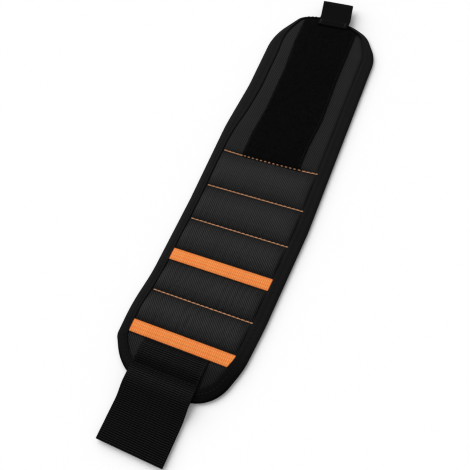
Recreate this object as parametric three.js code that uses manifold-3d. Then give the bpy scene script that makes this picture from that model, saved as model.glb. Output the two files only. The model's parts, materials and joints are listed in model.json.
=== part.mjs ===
// A magnetic wristband laid flat with its front face up: five padded pocket rows that hide disc
// magnets, a long flap with a loop patch, a bound edge all round, two woven tapes across the front,
// a webbing strap with a hook patch below and a folded pull tab above.
//
// X runs across the band, Y along it towards the pull tab, Z out of the front face.
// The origin is under the middle of the laid-out band. Sizes are in millimetres.
//
// The sewn cover, lining and edge binding run on from end to end. Each is made whole here and then
// parted at the fold lines, so that every row, the flap and the lower end can turn on its stitches.

import * as THREE from 'three';
import { mergeVertices } from 'three/addons/utils/BufferGeometryUtils.js';
import Module from 'manifold-3d';

const wasm = await Module();
wasm.setup();

// Outline of the band
const BAND_WIDTH = 92; // of an even band, from which the sewn edge swells and draws in
const FLAP_LENGTH = 144; // from the first seam to the top edge
const END_LENGTH = 34.5; // from the middle of the lower tape to the bottom edge
const FLAP_RADIUS_LEFT = 35;
const FLAP_RADIUS_RIGHT = 40;
const END_RADIUS_LEFT = 24; // where the slant at the lower left meets the bottom edge
const END_RADIUS_RIGHT = 36;
const SHOULDER_RADIUS = 8; // where the left side meets that slant
const SHOULDER_HEIGHT = 25; // of that corner over the bottom edge
const SLANT_WIDTH = 19; // from that corner across to the foot of the slant
const EDGE_RADIUS = 150; // of the gentle bends along both sides

// How far the edge stands out from an even band, or in from it where below zero
const RIGHT_TOP = -3;
const RIGHT_ROW_2 = 2.2;
const RIGHT_SEAM_4 = 0.5;
const RIGHT_BOTTOM = -2.4;
const LEFT_TOP = -0.6;
const LEFT_FLAP_MIDDLE = -1.2;
const LEFT_FLAP_FOOT = 1.2;
const LEFT_ROW_2 = -0.4;
const LEFT_ROW_4 = 0.1;
const LEFT_ROW_5 = 2.6;
const LEFT_SHOULDER = 2.5;
const FLAP_MIDDLE = 64; // height of these two places over the first seam
const FLAP_FOOT = 22;

// Pocket rows from the flap down, each from seam to seam
const ROW_1_HEIGHT = 32.5;
const ROW_2_HEIGHT = 30;
const ROW_3_HEIGHT = 31.5;
const ROW_4_HEIGHT = 29;
const ROW_5_HEIGHT = 29;

// Cloth, padding and binding
const LAYER_GAP = 0.2; // between one layer and the next
const LINING_THICK = 0.7;
const COVER_THICK = 0.8;
const PADDING_THICK = 1.2; // in the flap and the lower end
const BINDING_WIDTH = 8; // what shows of it on the front
const BINDING_THICK = 0.9;
const BINDING_NOSE = 1.2; // depth of its rounded fold
const SEAM_FLANGE = 1.6; // flat cloth between a fold line and the foot of a pillow
const PILLOW_MARGIN = 0.5; // between a pillow's foot and the binding
const PILLOW_CORNER = 5;
const PILLOW_EDGE = 7; // how far in from its foot a pocket's pillow is rounded
const PANEL_EDGE = 4; // the same for the flatter flap and lower end
const CROWN_POWER = 2.4; // fullness of the rounding, 2 being an ellipse

// Folds
const FOLD_GAP = 0.6; // between neighbours on a fold line
const WRAP_ANGLE = 40; // degrees that a fold line turns towards the wrist
const REVERSE_ANGLE = 30; // degrees that it turns back

// Magnets and their foam carrier
const MAGNETS_PER_ROW = 3;
const MAGNET_DIAMETER = 15;
const MAGNET_THICK = 2;
const MAGNET_CHAMFER = 0.25;
const MAGNET_SPACING = 24;
const MAGNET_CLEARANCE = 0.3; // round a magnet in its hole
const FOAM_OVER_MAGNET = 1.2; // how much higher the foam stands than the magnets

// Trim on the front
const LOOP_WIDTH = 45;
const LOOP_THICK = 1.4;
const LOOP_MARGIN = 2.5; // from its top end to the edge of the flap
const LOOP_LOW_OFFSET = 2; // it is sewn a little askew: its lower end right of the middle,
const LOOP_TOP_OFFSET = -1; // and its top end left of it
const TAPE_WIDTH = 9;
const TAPE_THICK = 0.9;
const TAPE_MARGIN = 1; // from a tape's edge to the fold line below it and the pillow above it
const THREAD_DIAMETER = 0.8;
const STITCH_LENGTH = 3.6;
const STITCH_WAVE = 0.12; // rise and fall of the thread along its stitches

// Closing strap and its hook patch
const STRAP_WIDTH = 50;
const STRAP_THICK = 1.6;
const STRAP_REACH = 42; // past the bottom edge
const STRAP_OFFSET = -3.4; // from the middle of the band
const HOOK_WIDTH = 45;
const HOOK_LENGTH = 26;
const HOOK_THICK = 1.2;
const HOOK_MARGIN = 1; // from the hook patch to the end of the strap

// Pull tab
const TAB_WIDTH = 25;
const TAB_REACH = 17; // past the top edge
const TAB_OFFSET = -0.3;
const TAB_LEAN = 3.2; // how far left of its root its tip lies
const TAB_PLY = 0.7;
const TAB_BULGE = 2.2; // across the round fold at its tip
const TAB_OVERLAP = 6; // sewn down on the flap
const TAB_CLOSED = 5; // from its fold line to where the plies part
const TAB_DROOP = 1.2; // how much lower its tip lies

// Facets
const CORNER_STEPS = 5;
const END_STEPS = 12;
const EDGE_STEPS = 3;
const CROWN_STEPS = 4;
const NOSE_STEPS = 6;
const THREAD_SIDES = 6;
const ROUND_STEPS = 20;
const DROP_STEPS = 10;

// Seams and tapes from the flap down. A tape covers its seam, and the band then folds below it.
const ROW_HEIGHTS = [ROW_1_HEIGHT, ROW_2_HEIGHT, ROW_3_HEIGHT, ROW_4_HEIGHT, ROW_5_HEIGHT];
const ROW_COUNT = ROW_HEIGHTS.length;
const TAPED_SEAMS = [3, 5];
const isTaped = (seam) => TAPED_SEAMS.includes(seam);
const PLAIN_SEAMS = Array.from({ length: ROW_COUNT }, (_, seam) => seam).filter((seam) => !isTaped(seam));

// Places along the band, counted from the first seam and then moved so that the origin is central
const rowsAbove = (seam) => ROW_HEIGHTS.slice(0, seam).reduce((sum, height) => sum + height, 0);
const LOWEST_Y = -rowsAbove(ROW_COUNT) - END_LENGTH;
const CENTRE_Y = (FLAP_LENGTH + TAB_REACH + LOWEST_Y - STRAP_REACH) / 2;
const TOP_Y = FLAP_LENGTH - CENTRE_Y;
const BOTTOM_Y = LOWEST_Y - CENTRE_Y;
const seamY = (seam) => -rowsAbove(seam) - CENTRE_Y;
const foldY = (seam) => seamY(seam) - (isTaped(seam) ? TAPE_WIDTH / 2 + TAPE_MARGIN : 0);
const rowY = (row) => (foldY(row - 1) + foldY(row)) / 2;

// Heights of the layers
const LINING_Z = BINDING_THICK + LAYER_GAP;
const COVER_Z = LINING_Z + LINING_THICK + LAYER_GAP;
const SEAM_TOP_Z = COVER_Z + COVER_THICK;
const FOLD_Z = (LINING_Z + SEAM_TOP_Z) / 2;
const BINDING_FRONT_Z = SEAM_TOP_Z + LAYER_GAP;
const BINDING_TOP_Z = BINDING_FRONT_Z + BINDING_THICK;
const POCKET_ROOM = MAGNET_THICK + FOAM_OVER_MAGNET + LAYER_GAP;
const PANEL_ROOM = PADDING_THICK + LAYER_GAP;
const PANEL_TOP_Z = Math.max(COVER_Z + PANEL_ROOM + COVER_THICK, BINDING_TOP_Z);
const PATCH_Z = PANEL_TOP_Z + LAYER_GAP;
const PATCH_TOP_Z = PATCH_Z + LOOP_THICK;
const TAB_Z = PATCH_TOP_Z + LAYER_GAP;

// Half widths across the band
const HALF_BAND = BAND_WIDTH / 2;
const SHEET_INSET = BINDING_THICK + LAYER_GAP; // from the band's edge to the edge of cover and lining
const PILLOW_INSET = BINDING_WIDTH + PILLOW_MARGIN;
const TRIM_INSET = BINDING_WIDTH + LAYER_GAP; // to the ends of tapes and threads
const SMALLEST_CORNER = 0.4;
const BEYOND = 2; // how far a cutting solid stands past what it cuts

// One material for each cloth, tape and metal
const finish = (color, roughness, metalness = 0) => new THREE.MeshStandardMaterial({
  color, roughness, metalness,
});
const FINISH = {
  cover: finish(0x2c2d2f, 0.85),
  lining: finish(0x1f2022, 0.9),
  binding: finish(0x1b1b1d, 0.8),
  foam: finish(0x8b8a86, 0.95),
  magnet: finish(0xb9bdc2, 0.3, 1),
  loop: finish(0x0e0e0f, 1),
  hook: finish(0x151516, 0.7),
  tape: finish(0xf08030, 0.7),
  thread: finish(0xf2a468, 0.6),
  webbing: finish(0x1d1d1f, 0.75),
};

const wristband = new THREE.Group();
wristband.name = 'magnetic_wristband';

function addPiece(name, geometry, material) {
  const piece = new THREE.Mesh(geometry, material);
  piece.name = name;
  wristband.add(piece);
}

// Joining and cutting of closed solids
function toSolid(geometry) {
  const bare = geometry.clone();
  bare.deleteAttribute('normal');
  bare.deleteAttribute('uv');
  const merged = mergeVertices(bare);
  return new wasm.Manifold(new wasm.Mesh({
    numProp: 3,
    vertProperties: new Float32Array(merged.attributes.position.array),
    triVerts: new Uint32Array(merged.index.array),
  }));
}

function toGeometry(solid) {
  const mesh = solid.getMesh();
  const geometry = new THREE.BufferGeometry();
  geometry.setAttribute('position', new THREE.BufferAttribute(mesh.vertProperties, 3));
  geometry.setIndex(new THREE.BufferAttribute(mesh.triVerts, 1));
  geometry.computeVertexNormals();
  return geometry;
}

// An outline that runs anticlockwise through its corners, with a radius at each, drawn in by inset on
// every side. A corner may turn outwards or inwards. Every inset gives the same number of points, so
// that outlines can be lofted.
function outline(corners, inset = 0) {
  const outward = corners.map((corner, i) => {
    const next = corners[(i + 1) % corners.length];
    return new THREE.Vector2(next.y - corner.y, corner.x - next.x).normalize();
  });
  return corners.flatMap(({ x, y, radius, steps }, i) => {
    const before = outward.at(i - 1);
    const after = outward[i];
    const turn = Math.atan2(before.cross(after), before.dot(after));
    const way = Math.sign(turn);
    const r = Math.max(radius - way * inset, SMALLEST_CORNER);
    const toCentre = -(inset + way * r) / (1 + before.dot(after));
    const centre = before.clone().add(after).multiplyScalar(toCentre).add(new THREE.Vector2(x, y));
    return Array.from({ length: steps + 1 }, (_, k) => {
      const a = before.angle() + (turn * k) / steps;
      return new THREE.Vector2(centre.x + way * r * Math.cos(a), centre.y + way * r * Math.sin(a));
    });
  });
}

const rectangle = (halfWidth, lowY, highY, radius) => [
  { x: halfWidth, y: lowY }, { x: halfWidth, y: highY },
  { x: -halfWidth, y: highY }, { x: -halfWidth, y: lowY },
].map((corner) => ({ ...corner, radius, steps: CORNER_STEPS }));

const plate = (points, lowZ, highZ) => new THREE.ExtrudeGeometry(new THREE.Shape(points), {
  depth: highZ - lowZ, bevelEnabled: false,
}).translate(0, 0, lowZ);

// A closed solid through outlines of equal point count, listed from the lowest to the highest
function loft(rings) {
  const count = rings[0].points.length;
  const positions = rings.flatMap(({ points, z }) => points.flatMap((p) => [p.x, p.y, z]));
  const index = [];
  for (let k = 0; k < rings.length - 1; k += 1) {
    for (let i = 0; i < count; i += 1) {
      const a = k * count + i;
      const b = k * count + ((i + 1) % count);
      index.push(a, b, b + count, a, b + count, a + count);
    }
  }
  const last = (rings.length - 1) * count;
  const cap = (ring) => THREE.ShapeUtils.triangulateShape(ring.points, []);
  cap(rings[0]).forEach(([a, b, c]) => index.push(c, b, a));
  cap(rings.at(-1)).forEach(([a, b, c]) => index.push(last + a, last + b, last + c));
  const geometry = new THREE.BufferGeometry();
  geometry.setAttribute('position', new THREE.Float32BufferAttribute(positions, 3));
  geometry.setIndex(index);
  geometry.computeVertexNormals();
  return geometry;
}

// A pillow on a panel: it rises steeply from its foot and rounds over to a flat crown, along a
// quarter of a superellipse. It may start lower, on a straight skirt. A panel of two outlines is
// what lies within both.
function pillow(panel, inset, edge, lowZ, rise, skirt = 0) {
  return panel.map((drawnIn) => toSolid(crown(drawnIn, inset, edge, lowZ, rise, skirt)))
    .reduce((both, next) => both.intersect(next));
}

function crown(drawnIn, inset, edge, lowZ, rise, skirt) {
  const rings = Array.from({ length: CROWN_STEPS + 1 }, (_, i) => {
    const a = (i / CROWN_STEPS) * (Math.PI / 2);
    const inward = edge * (1 - Math.cos(a) ** (2 / CROWN_POWER));
    return {
      points: drawnIn(inset + inward),
      z: lowZ + rise * Math.sin(a) ** (2 / CROWN_POWER),
    };
  });
  if (skirt > 0) rings.unshift({ points: rings[0].points, z: lowZ - skirt });
  return loft(rings);
}

// The stretch of the band that turns as one, between the fold lines above and below it. Its ends
// lean away from the fold, by half the angle that the fold turns each way.
const TALLEST_Z = TAB_Z + TAB_BULGE + BEYOND;
const lean = (degrees) => Math.tan(THREE.MathUtils.degToRad(degrees / 2));

function stretch(upperFold, lowerFold) {
  const end = (y, away) => {
    const waist = y + away * (FOLD_GAP / 2);
    return {
      low: waist + away * (FOLD_Z + BEYOND) * lean(WRAP_ANGLE),
      waist,
      high: waist + away * (TALLEST_Z - FOLD_Z) * lean(REVERSE_ANGLE),
    };
  };
  const free = (y) => ({ low: y, waist: y, high: y });
  const top = upperFold === null ? free(TOP_Y + BEYOND) : end(foldY(upperFold), -1);
  const bottom = lowerFold === null ? free(BOTTOM_Y - BEYOND) : end(foldY(lowerFold), 1);
  const side = new THREE.Shape([
    new THREE.Vector2(bottom.low, -BEYOND),
    new THREE.Vector2(top.low, -BEYOND),
    new THREE.Vector2(top.waist, FOLD_Z),
    new THREE.Vector2(top.high, TALLEST_Z),
    new THREE.Vector2(bottom.high, TALLEST_Z),
    new THREE.Vector2(bottom.waist, FOLD_Z),
  ]);
  return toSolid(acrossBand(side, 2 * (WIDEST_HALF + BEYOND), 0));
}

// A shape drawn in Y and Z, extruded across the band about the place x
function acrossBand(shape, width, x) {
  const geometry = new THREE.ExtrudeGeometry(shape, {
    depth: width, bevelEnabled: false, curveSegments: NOSE_STEPS,
  });
  const turn = new THREE.Matrix4().makeBasis(
    new THREE.Vector3(0, 1, 0), new THREE.Vector3(0, 0, 1), new THREE.Vector3(1, 0, 0),
  );
  return geometry.applyMatrix4(turn).translate(x - width / 2, 0, 0);
}

// The sewn edge, up its right side and down its left, and the band's outline with the edge centred
const right = (out, y, radius, steps) => ({ x: HALF_BAND + out, y, radius, steps });
const left = (out, y, radius, steps) => ({ x: -HALF_BAND - out, y, radius, steps });
const EDGE = [
  right(RIGHT_BOTTOM, BOTTOM_Y, END_RADIUS_RIGHT, END_STEPS),
  right(RIGHT_SEAM_4, seamY(4), EDGE_RADIUS, EDGE_STEPS),
  right(RIGHT_ROW_2, rowY(2), EDGE_RADIUS, EDGE_STEPS),
  right(RIGHT_TOP, TOP_Y, FLAP_RADIUS_RIGHT, END_STEPS),
  left(LEFT_TOP, TOP_Y, FLAP_RADIUS_LEFT, END_STEPS),
  left(LEFT_FLAP_MIDDLE, seamY(0) + FLAP_MIDDLE, EDGE_RADIUS, EDGE_STEPS),
  left(LEFT_FLAP_FOOT, seamY(0) + FLAP_FOOT, EDGE_RADIUS, EDGE_STEPS),
  left(LEFT_ROW_2, rowY(2), EDGE_RADIUS, EDGE_STEPS),
  left(LEFT_ROW_4, rowY(4), EDGE_RADIUS, EDGE_STEPS),
  left(LEFT_ROW_5, rowY(5), EDGE_RADIUS, EDGE_STEPS),
  left(LEFT_SHOULDER, BOTTOM_Y + SHOULDER_HEIGHT, SHOULDER_RADIUS, CORNER_STEPS),
  left(LEFT_SHOULDER - SLANT_WIDTH, BOTTOM_Y, END_RADIUS_LEFT, END_STEPS),
];
const edgeX = outline(EDGE).map((point) => point.x);
const WIDEST_HALF = (Math.max(...edgeX) - Math.min(...edgeX)) / 2;
const CENTRE_X = Math.max(...edgeX) - WIDEST_HALF;
const BAND = EDGE.map((corner) => ({ ...corner, x: corner.x - CENTRE_X }));

// Left and right ends of what lies within an inset, at a place along the band
function endsAcross(y, inset) {
  const points = outline(BAND, inset);
  const crossings = points.flatMap((p, i) => {
    const q = points[(i + 1) % points.length];
    return (p.y - y) * (q.y - y) < 0 ? [THREE.MathUtils.mapLinear(y, p.y, q.y, p.x, q.x)] : [];
  });
  return [Math.min(...crossings), Math.max(...crossings)];
}

// Whole sheets, before they are parted
const lining = toSolid(plate(outline(BAND, SHEET_INSET), LINING_Z, LINING_Z + LINING_THICK));
const coverSheet = toSolid(plate(outline(BAND, SHEET_INSET), COVER_Z, SEAM_TOP_Z));

function makeBinding() {
  const half = BINDING_TOP_Z / 2;
  const tapered = Array.from({ length: NOSE_STEPS + 1 }, (_, i) => {
    const a = (i / NOSE_STEPS - 0.5) * Math.PI;
    return { points: outline(BAND, BINDING_NOSE * (1 - Math.cos(a))), z: half + half * Math.sin(a) };
  });
  const groove = plate(outline(BAND, BINDING_THICK), BINDING_THICK, BINDING_FRONT_Z);
  const window = plate(outline(BAND, BINDING_WIDTH), -BEYOND, BINDING_TOP_Z + BEYOND);
  return toSolid(loft(tapered)).subtract(toSolid(groove)).subtract(toSolid(window));
}
const binding = makeBinding();

// Cloth over padding: a flat sheet with a hollow pillow raised in it, and the padding that fills it
function coverOver(panel, edge, room) {
  const outside = pillow(panel, 0, edge, COVER_Z, room + COVER_THICK);
  const inside = pillow(panel, COVER_THICK, edge, COVER_Z, room, BEYOND);
  return coverSheet.add(outside).subtract(inside);
}

function paddingUnder(panel, edge, room) {
  return pillow(panel, COVER_THICK + LAYER_GAP, edge, COVER_Z, room - LAYER_GAP);
}

// Panels: the room within the binding, and a stretch of the band between two places along it
const withinBinding = (inset) => outline(BAND, PILLOW_INSET + inset);
const between = (lowY, highY) => (inset) => (
  outline(rectangle(WIDEST_HALF, lowY, highY, PILLOW_CORNER), inset)
);

const halfOfBand = (side) => toSolid(new THREE.BoxGeometry(
  WIDEST_HALF + BEYOND, TOP_Y - BOTTOM_Y + 2 * BEYOND, TALLEST_Z + 2 * BEYOND,
).translate(side * (WIDEST_HALF + BEYOND) / 2, (TOP_Y + BOTTOM_Y) / 2, TALLEST_Z / 2));

// Disc magnet with its lower face at z 0
function magnetDisc() {
  const r = MAGNET_DIAMETER / 2;
  const c = MAGNET_CHAMFER;
  const top = MAGNET_THICK;
  const profile = [[0, 0], [r - c, 0], [r, c], [r, top - c], [r - c, top], [0, top]];
  const points = profile.map(([x, z]) => new THREE.Vector2(x, z));
  return new THREE.LatheGeometry(points, ROUND_STEPS).rotateX(Math.PI / 2);
}

const magnetX = (i) => (i - (MAGNETS_PER_ROW - 1) / 2) * MAGNET_SPACING;

// A row of pocket: cover, lining, both edge bindings, foam carrier and magnets
function addRow(row) {
  const part = stretch(row - 1, row);
  const highY = foldY(row - 1) - SEAM_FLANGE;
  const lowY = isTaped(row) ? seamY(row) + TAPE_WIDTH / 2 + TAPE_MARGIN : foldY(row) + SEAM_FLANGE;
  const middleY = (highY + lowY) / 2;
  const panel = [withinBinding, between(lowY, highY)];
  const name = `row_${row}`;
  addPiece(`${name}_cover`, toGeometry(coverOver(panel, PILLOW_EDGE, POCKET_ROOM).intersect(part)),
    FINISH.cover);
  addPiece(`${name}_lining`, toGeometry(lining.intersect(part)), FINISH.lining);
  const edging = binding.intersect(part);
  addPiece(`${name}_binding_left`, toGeometry(edging.intersect(halfOfBand(-1))), FINISH.binding);
  addPiece(`${name}_binding_right`, toGeometry(edging.intersect(halfOfBand(1))), FINISH.binding);
  let foam = paddingUnder(panel, PILLOW_EDGE, POCKET_ROOM);
  for (let i = 0; i < MAGNETS_PER_ROW; i += 1) {
    const radius = MAGNET_DIAMETER / 2 + MAGNET_CLEARANCE;
    const hole = new THREE.CylinderGeometry(radius, radius, POCKET_ROOM + 2 * BEYOND, ROUND_STEPS)
      .rotateX(Math.PI / 2).translate(magnetX(i), middleY, COVER_Z + POCKET_ROOM / 2);
    foam = foam.subtract(toSolid(hole));
    addPiece(`${name}_magnet_${i + 1}`, magnetDisc().translate(magnetX(i), middleY, COVER_Z),
      FINISH.magnet);
  }
  addPiece(`${name}_foam`, toGeometry(foam), FINISH.foam);
}

// Flap above the first seam, with the loop patch that the hooks grip
function addFlap() {
  const part = stretch(null, 0);
  const panel = [withinBinding, between(foldY(0) + SEAM_FLANGE, TOP_Y)];
  addPiece('flap_cover', toGeometry(coverOver(panel, PANEL_EDGE, PANEL_ROOM).intersect(part)), FINISH.cover);
  addPiece('flap_padding', toGeometry(paddingUnder(panel, PANEL_EDGE, PANEL_ROOM)), FINISH.foam);
  addPiece('flap_lining', toGeometry(lining.intersect(part)), FINISH.lining);
  addPiece('flap_binding', toGeometry(binding.intersect(part)), FINISH.binding);
  const strip = plate([
    new THREE.Vector2(LOOP_LOW_OFFSET - LOOP_WIDTH / 2, seamY(0)),
    new THREE.Vector2(LOOP_LOW_OFFSET + LOOP_WIDTH / 2, seamY(0)),
    new THREE.Vector2(LOOP_TOP_OFFSET + LOOP_WIDTH / 2, TOP_Y),
    new THREE.Vector2(LOOP_TOP_OFFSET - LOOP_WIDTH / 2, TOP_Y),
  ], PATCH_Z, PATCH_TOP_Z);
  const within = plate(outline(BAND, LOOP_MARGIN), 0, TALLEST_Z);
  addPiece('loop_patch', toGeometry(toSolid(strip).intersect(toSolid(within)).intersect(part)), FINISH.loop);
}

// Lower end below the last tape, with the sewn root of the strap on it
function addLowerEnd() {
  const part = stretch(ROW_COUNT, null);
  const panel = [withinBinding, between(BOTTOM_Y, foldY(ROW_COUNT) - SEAM_FLANGE)];
  addPiece('end_cover', toGeometry(coverOver(panel, PANEL_EDGE, PANEL_ROOM).intersect(part)), FINISH.cover);
  addPiece('end_padding', toGeometry(paddingUnder(panel, PANEL_EDGE, PANEL_ROOM)), FINISH.foam);
  addPiece('end_lining', toGeometry(lining.intersect(part)), FINISH.lining);
  addPiece('end_binding', toGeometry(binding.intersect(part)), FINISH.binding);
  const rootLength = foldY(ROW_COUNT) - STRAP_ROOT_Y;
  const root = new THREE.BoxGeometry(STRAP_WIDTH, rootLength, STRAP_THICK)
    .translate(STRAP_OFFSET, STRAP_ROOT_Y + rootLength / 2, PATCH_Z + STRAP_THICK / 2);
  addPiece('strap_root', toGeometry(toSolid(root).intersect(part)), FINISH.webbing);
}

// Free strap: a round nose on its fold line, a drop down to the surface that the band lies on, and a
// flat end with the hook patch under it
const STRAP_FOLD_Y = BOTTOM_Y - STRAP_THICK / 2 - LAYER_GAP;
const STRAP_FOLD_Z = PATCH_Z + STRAP_THICK / 2;
const STRAP_ROOT_Y = STRAP_FOLD_Y + STRAP_THICK / 2 + FOLD_GAP / 2;
const STRAP_END_Y = BOTTOM_Y - STRAP_REACH;
const STRAP_FLAT_Y = STRAP_END_Y + HOOK_MARGIN + HOOK_LENGTH;
const STRAP_FLAT_Z = HOOK_THICK + LAYER_GAP + STRAP_THICK / 2;

function addStrap() {
  const half = STRAP_THICK / 2;
  const run = STRAP_FLAT_Y - STRAP_FOLD_Y;
  const fall = STRAP_FLAT_Z - STRAP_FOLD_Z;
  const middle = (t) => {
    const slope = (6 * t * (1 - t) * fall) / run;
    const normal = new THREE.Vector2(-slope, 1).normalize();
    const at = new THREE.Vector2(STRAP_FOLD_Y + run * t, STRAP_FOLD_Z + fall * t * t * (3 - 2 * t));
    return { at, normal };
  };
  const drop = Array.from({ length: DROP_STEPS + 1 }, (_, i) => middle(i / DROP_STEPS));
  const shape = new THREE.Shape();
  shape.absarc(STRAP_FOLD_Y, STRAP_FOLD_Z, half, -Math.PI / 2, Math.PI / 2, false);
  drop.slice(1).forEach(({ at, normal }) => shape.lineTo(at.x + half * normal.x, at.y + half * normal.y));
  shape.lineTo(STRAP_END_Y, STRAP_FLAT_Z + half);
  shape.lineTo(STRAP_END_Y, STRAP_FLAT_Z - half);
  drop.slice(1).reverse()
    .forEach(({ at, normal }) => shape.lineTo(at.x - half * normal.x, at.y - half * normal.y));
  addPiece('strap', acrossBand(shape, STRAP_WIDTH, STRAP_OFFSET), FINISH.webbing);
  const patch = new THREE.BoxGeometry(HOOK_WIDTH, HOOK_LENGTH, HOOK_THICK)
    .translate(STRAP_OFFSET, STRAP_FLAT_Y - HOOK_LENGTH / 2, HOOK_THICK / 2);
  addPiece('hook_patch', patch, FINISH.hook);
}

// Pull tab: webbing folded back on itself, sewn down on the flap and free past the top edge
const TAB_THICK = 2 * TAB_PLY + LAYER_GAP; // both plies where they are sewn

function addTab() {
  const half = TAB_THICK / 2;
  const foldPlace = new THREE.Vector2(TOP_Y + half + LAYER_GAP, TAB_Z + half);
  const tip = new THREE.Vector2(TOP_Y + TAB_REACH - TAB_BULGE / 2, foldPlace.y - TAB_DROOP);
  const rootLength = TAB_OVERLAP + LAYER_GAP - FOLD_GAP / 2;
  const root = new THREE.BoxGeometry(TAB_WIDTH, rootLength, TAB_THICK)
    .translate(TAB_OFFSET, TOP_Y - TAB_OVERLAP + rootLength / 2, TAB_Z + half);
  addPiece('tab_root', root, FINISH.webbing);
  const loop = roundEnded(new THREE.Shape(), foldPlace, half, tip, TAB_BULGE / 2);
  const slitStart = tip.clone().sub(foldPlace).setLength(TAB_CLOSED).add(foldPlace);
  loop.holes.push(roundEnded(new THREE.Path(), slitStart, half - TAB_PLY, tip, TAB_BULGE / 2 - TAB_PLY));
  const slope = -TAB_LEAN / TAB_REACH;
  const leaning = new THREE.Matrix4().makeShear(0, 0, slope, 0, 0, 0).setPosition(-slope * foldPlace.x, 0, 0);
  addPiece('pull_tab', acrossBand(loop, TAB_WIDTH, TAB_OFFSET).applyMatrix4(leaning), FINISH.webbing);
}

// Closed path round two circles that stand one behind the other along Y
function roundEnded(path, near, nearRadius, far, farRadius) {
  path.absarc(near.x, near.y, nearRadius, Math.PI / 2, 1.5 * Math.PI, false);
  path.absarc(far.x, far.y, farRadius, -Math.PI / 2, Math.PI / 2, false);
  path.closePath();
  return path;
}

// Woven tape over a seam, cut to end along the binding
function addTape(name, seam) {
  const strip = new THREE.BoxGeometry(2 * WIDEST_HALF, TAPE_WIDTH, TAPE_THICK)
    .translate(0, seamY(seam), SEAM_TOP_Z + LAYER_GAP + TAPE_THICK / 2);
  const within = plate(outline(BAND, TRIM_INSET), 0, TALLEST_Z);
  addPiece(name, toGeometry(toSolid(strip).intersect(toSolid(within))), FINISH.tape);
}

// Sewing thread along a seam, as a rod that rises and falls with its stitches
class StitchLine extends THREE.Curve {
  constructor(y, z) {
    super();
    this.y = y;
    this.z = z;
    [this.start, this.end] = endsAcross(y, TRIM_INSET);
    this.stitches = Math.round((this.end - this.start) / STITCH_LENGTH);
  }

  getPoint(t, target = new THREE.Vector3()) {
    const wave = STITCH_WAVE * Math.cos(2 * Math.PI * this.stitches * t);
    return target.set(THREE.MathUtils.lerp(this.start, this.end, t), this.y, this.z + wave);
  }
}

function addThread(name, seam) {
  const radius = THREAD_DIAMETER / 2;
  const line = new StitchLine(
    foldY(seam) - SEAM_FLANGE / 2, SEAM_TOP_Z + LAYER_GAP + STITCH_WAVE + radius,
  );
  const section = new THREE.Shape().absarc(0, 0, radius, 0, 2 * Math.PI, false);
  const rod = new THREE.ExtrudeGeometry(section, {
    steps: 2 * line.stitches, bevelEnabled: false, extrudePath: line, curveSegments: THREAD_SIDES / 2,
  });
  addPiece(name, rod, FINISH.thread);
}

addFlap();
for (let row = 1; row <= ROW_COUNT; row += 1) addRow(row);
addLowerEnd();
addStrap();
addTab();
TAPED_SEAMS.forEach((seam, i) => addTape(`tape_${i + 1}`, seam));
PLAIN_SEAMS.forEach((seam, i) => addThread(`seam_${i + 1}_thread`, seam));

export default wristband;
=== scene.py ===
"""Dresses the magnetic wristband: padded cover, lining, binding, tapes, seams, loop patch, strap and tab."""

import json
import math

import bpy
import numpy as np
from mathutils import Matrix, Vector


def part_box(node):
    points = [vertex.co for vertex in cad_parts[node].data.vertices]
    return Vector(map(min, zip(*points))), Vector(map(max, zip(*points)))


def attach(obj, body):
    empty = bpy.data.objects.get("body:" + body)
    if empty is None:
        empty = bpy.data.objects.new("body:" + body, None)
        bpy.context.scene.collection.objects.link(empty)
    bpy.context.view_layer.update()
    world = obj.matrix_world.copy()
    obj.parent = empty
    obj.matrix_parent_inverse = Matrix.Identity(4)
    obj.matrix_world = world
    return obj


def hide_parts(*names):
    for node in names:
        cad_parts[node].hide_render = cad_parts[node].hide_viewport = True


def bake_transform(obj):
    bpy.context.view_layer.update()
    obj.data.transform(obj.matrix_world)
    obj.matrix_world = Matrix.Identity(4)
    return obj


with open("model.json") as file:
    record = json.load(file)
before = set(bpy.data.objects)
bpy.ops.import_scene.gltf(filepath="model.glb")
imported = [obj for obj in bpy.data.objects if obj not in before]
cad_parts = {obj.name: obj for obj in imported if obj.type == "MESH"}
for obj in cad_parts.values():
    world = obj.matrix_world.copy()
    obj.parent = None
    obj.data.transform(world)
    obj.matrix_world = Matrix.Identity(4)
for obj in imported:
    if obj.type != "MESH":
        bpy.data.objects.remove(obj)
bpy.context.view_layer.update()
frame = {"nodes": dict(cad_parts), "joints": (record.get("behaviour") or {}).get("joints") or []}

bl_info = {
    "name": "Magnetic wristband",
    "version": (1, 0, 0),
    "blender": (4, 5, 0),
    "location": "3D View > Sidebar > Wristband",
    "description": "Sews the cloth, tapes, threads and straps of a magnetic wristband round its solid parts",
    "category": "Object",
}

MM = 0.001
UP = np.array([0.0, 0.0, 1.0])
ACROSS = np.array([1.0, 0.0, 0.0])

# Fold lines from the flap down to the lower end: the joint, and the bodies above and below it.
FOLDS = [
    ("seam_1_fold", "flap", "row_1"),
    ("seam_2_fold", "row_1", "row_2"),
    ("seam_3_fold", "row_2", "row_3"),
    ("tape_1_fold", "row_3", "row_4"),
    ("seam_4_fold", "row_4", "row_5"),
    ("tape_2_fold", "row_5", "lower_end"),
]
LAST_FOLD = len(FOLDS) - 1
SEAMS = {0: "seam_1_thread", 1: "seam_2_thread", 2: "seam_3_thread", 4: "seam_4_thread"}
TAPES = {3: "tape_1", 5: "tape_2"}

JOINT_PLACE = {joint["name"]: joint["pos_m"] for joint in frame["joints"]}
FOLD_Y = np.array([JOINT_PLACE[joint][1] for joint, upper, lower in FOLDS])

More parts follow.
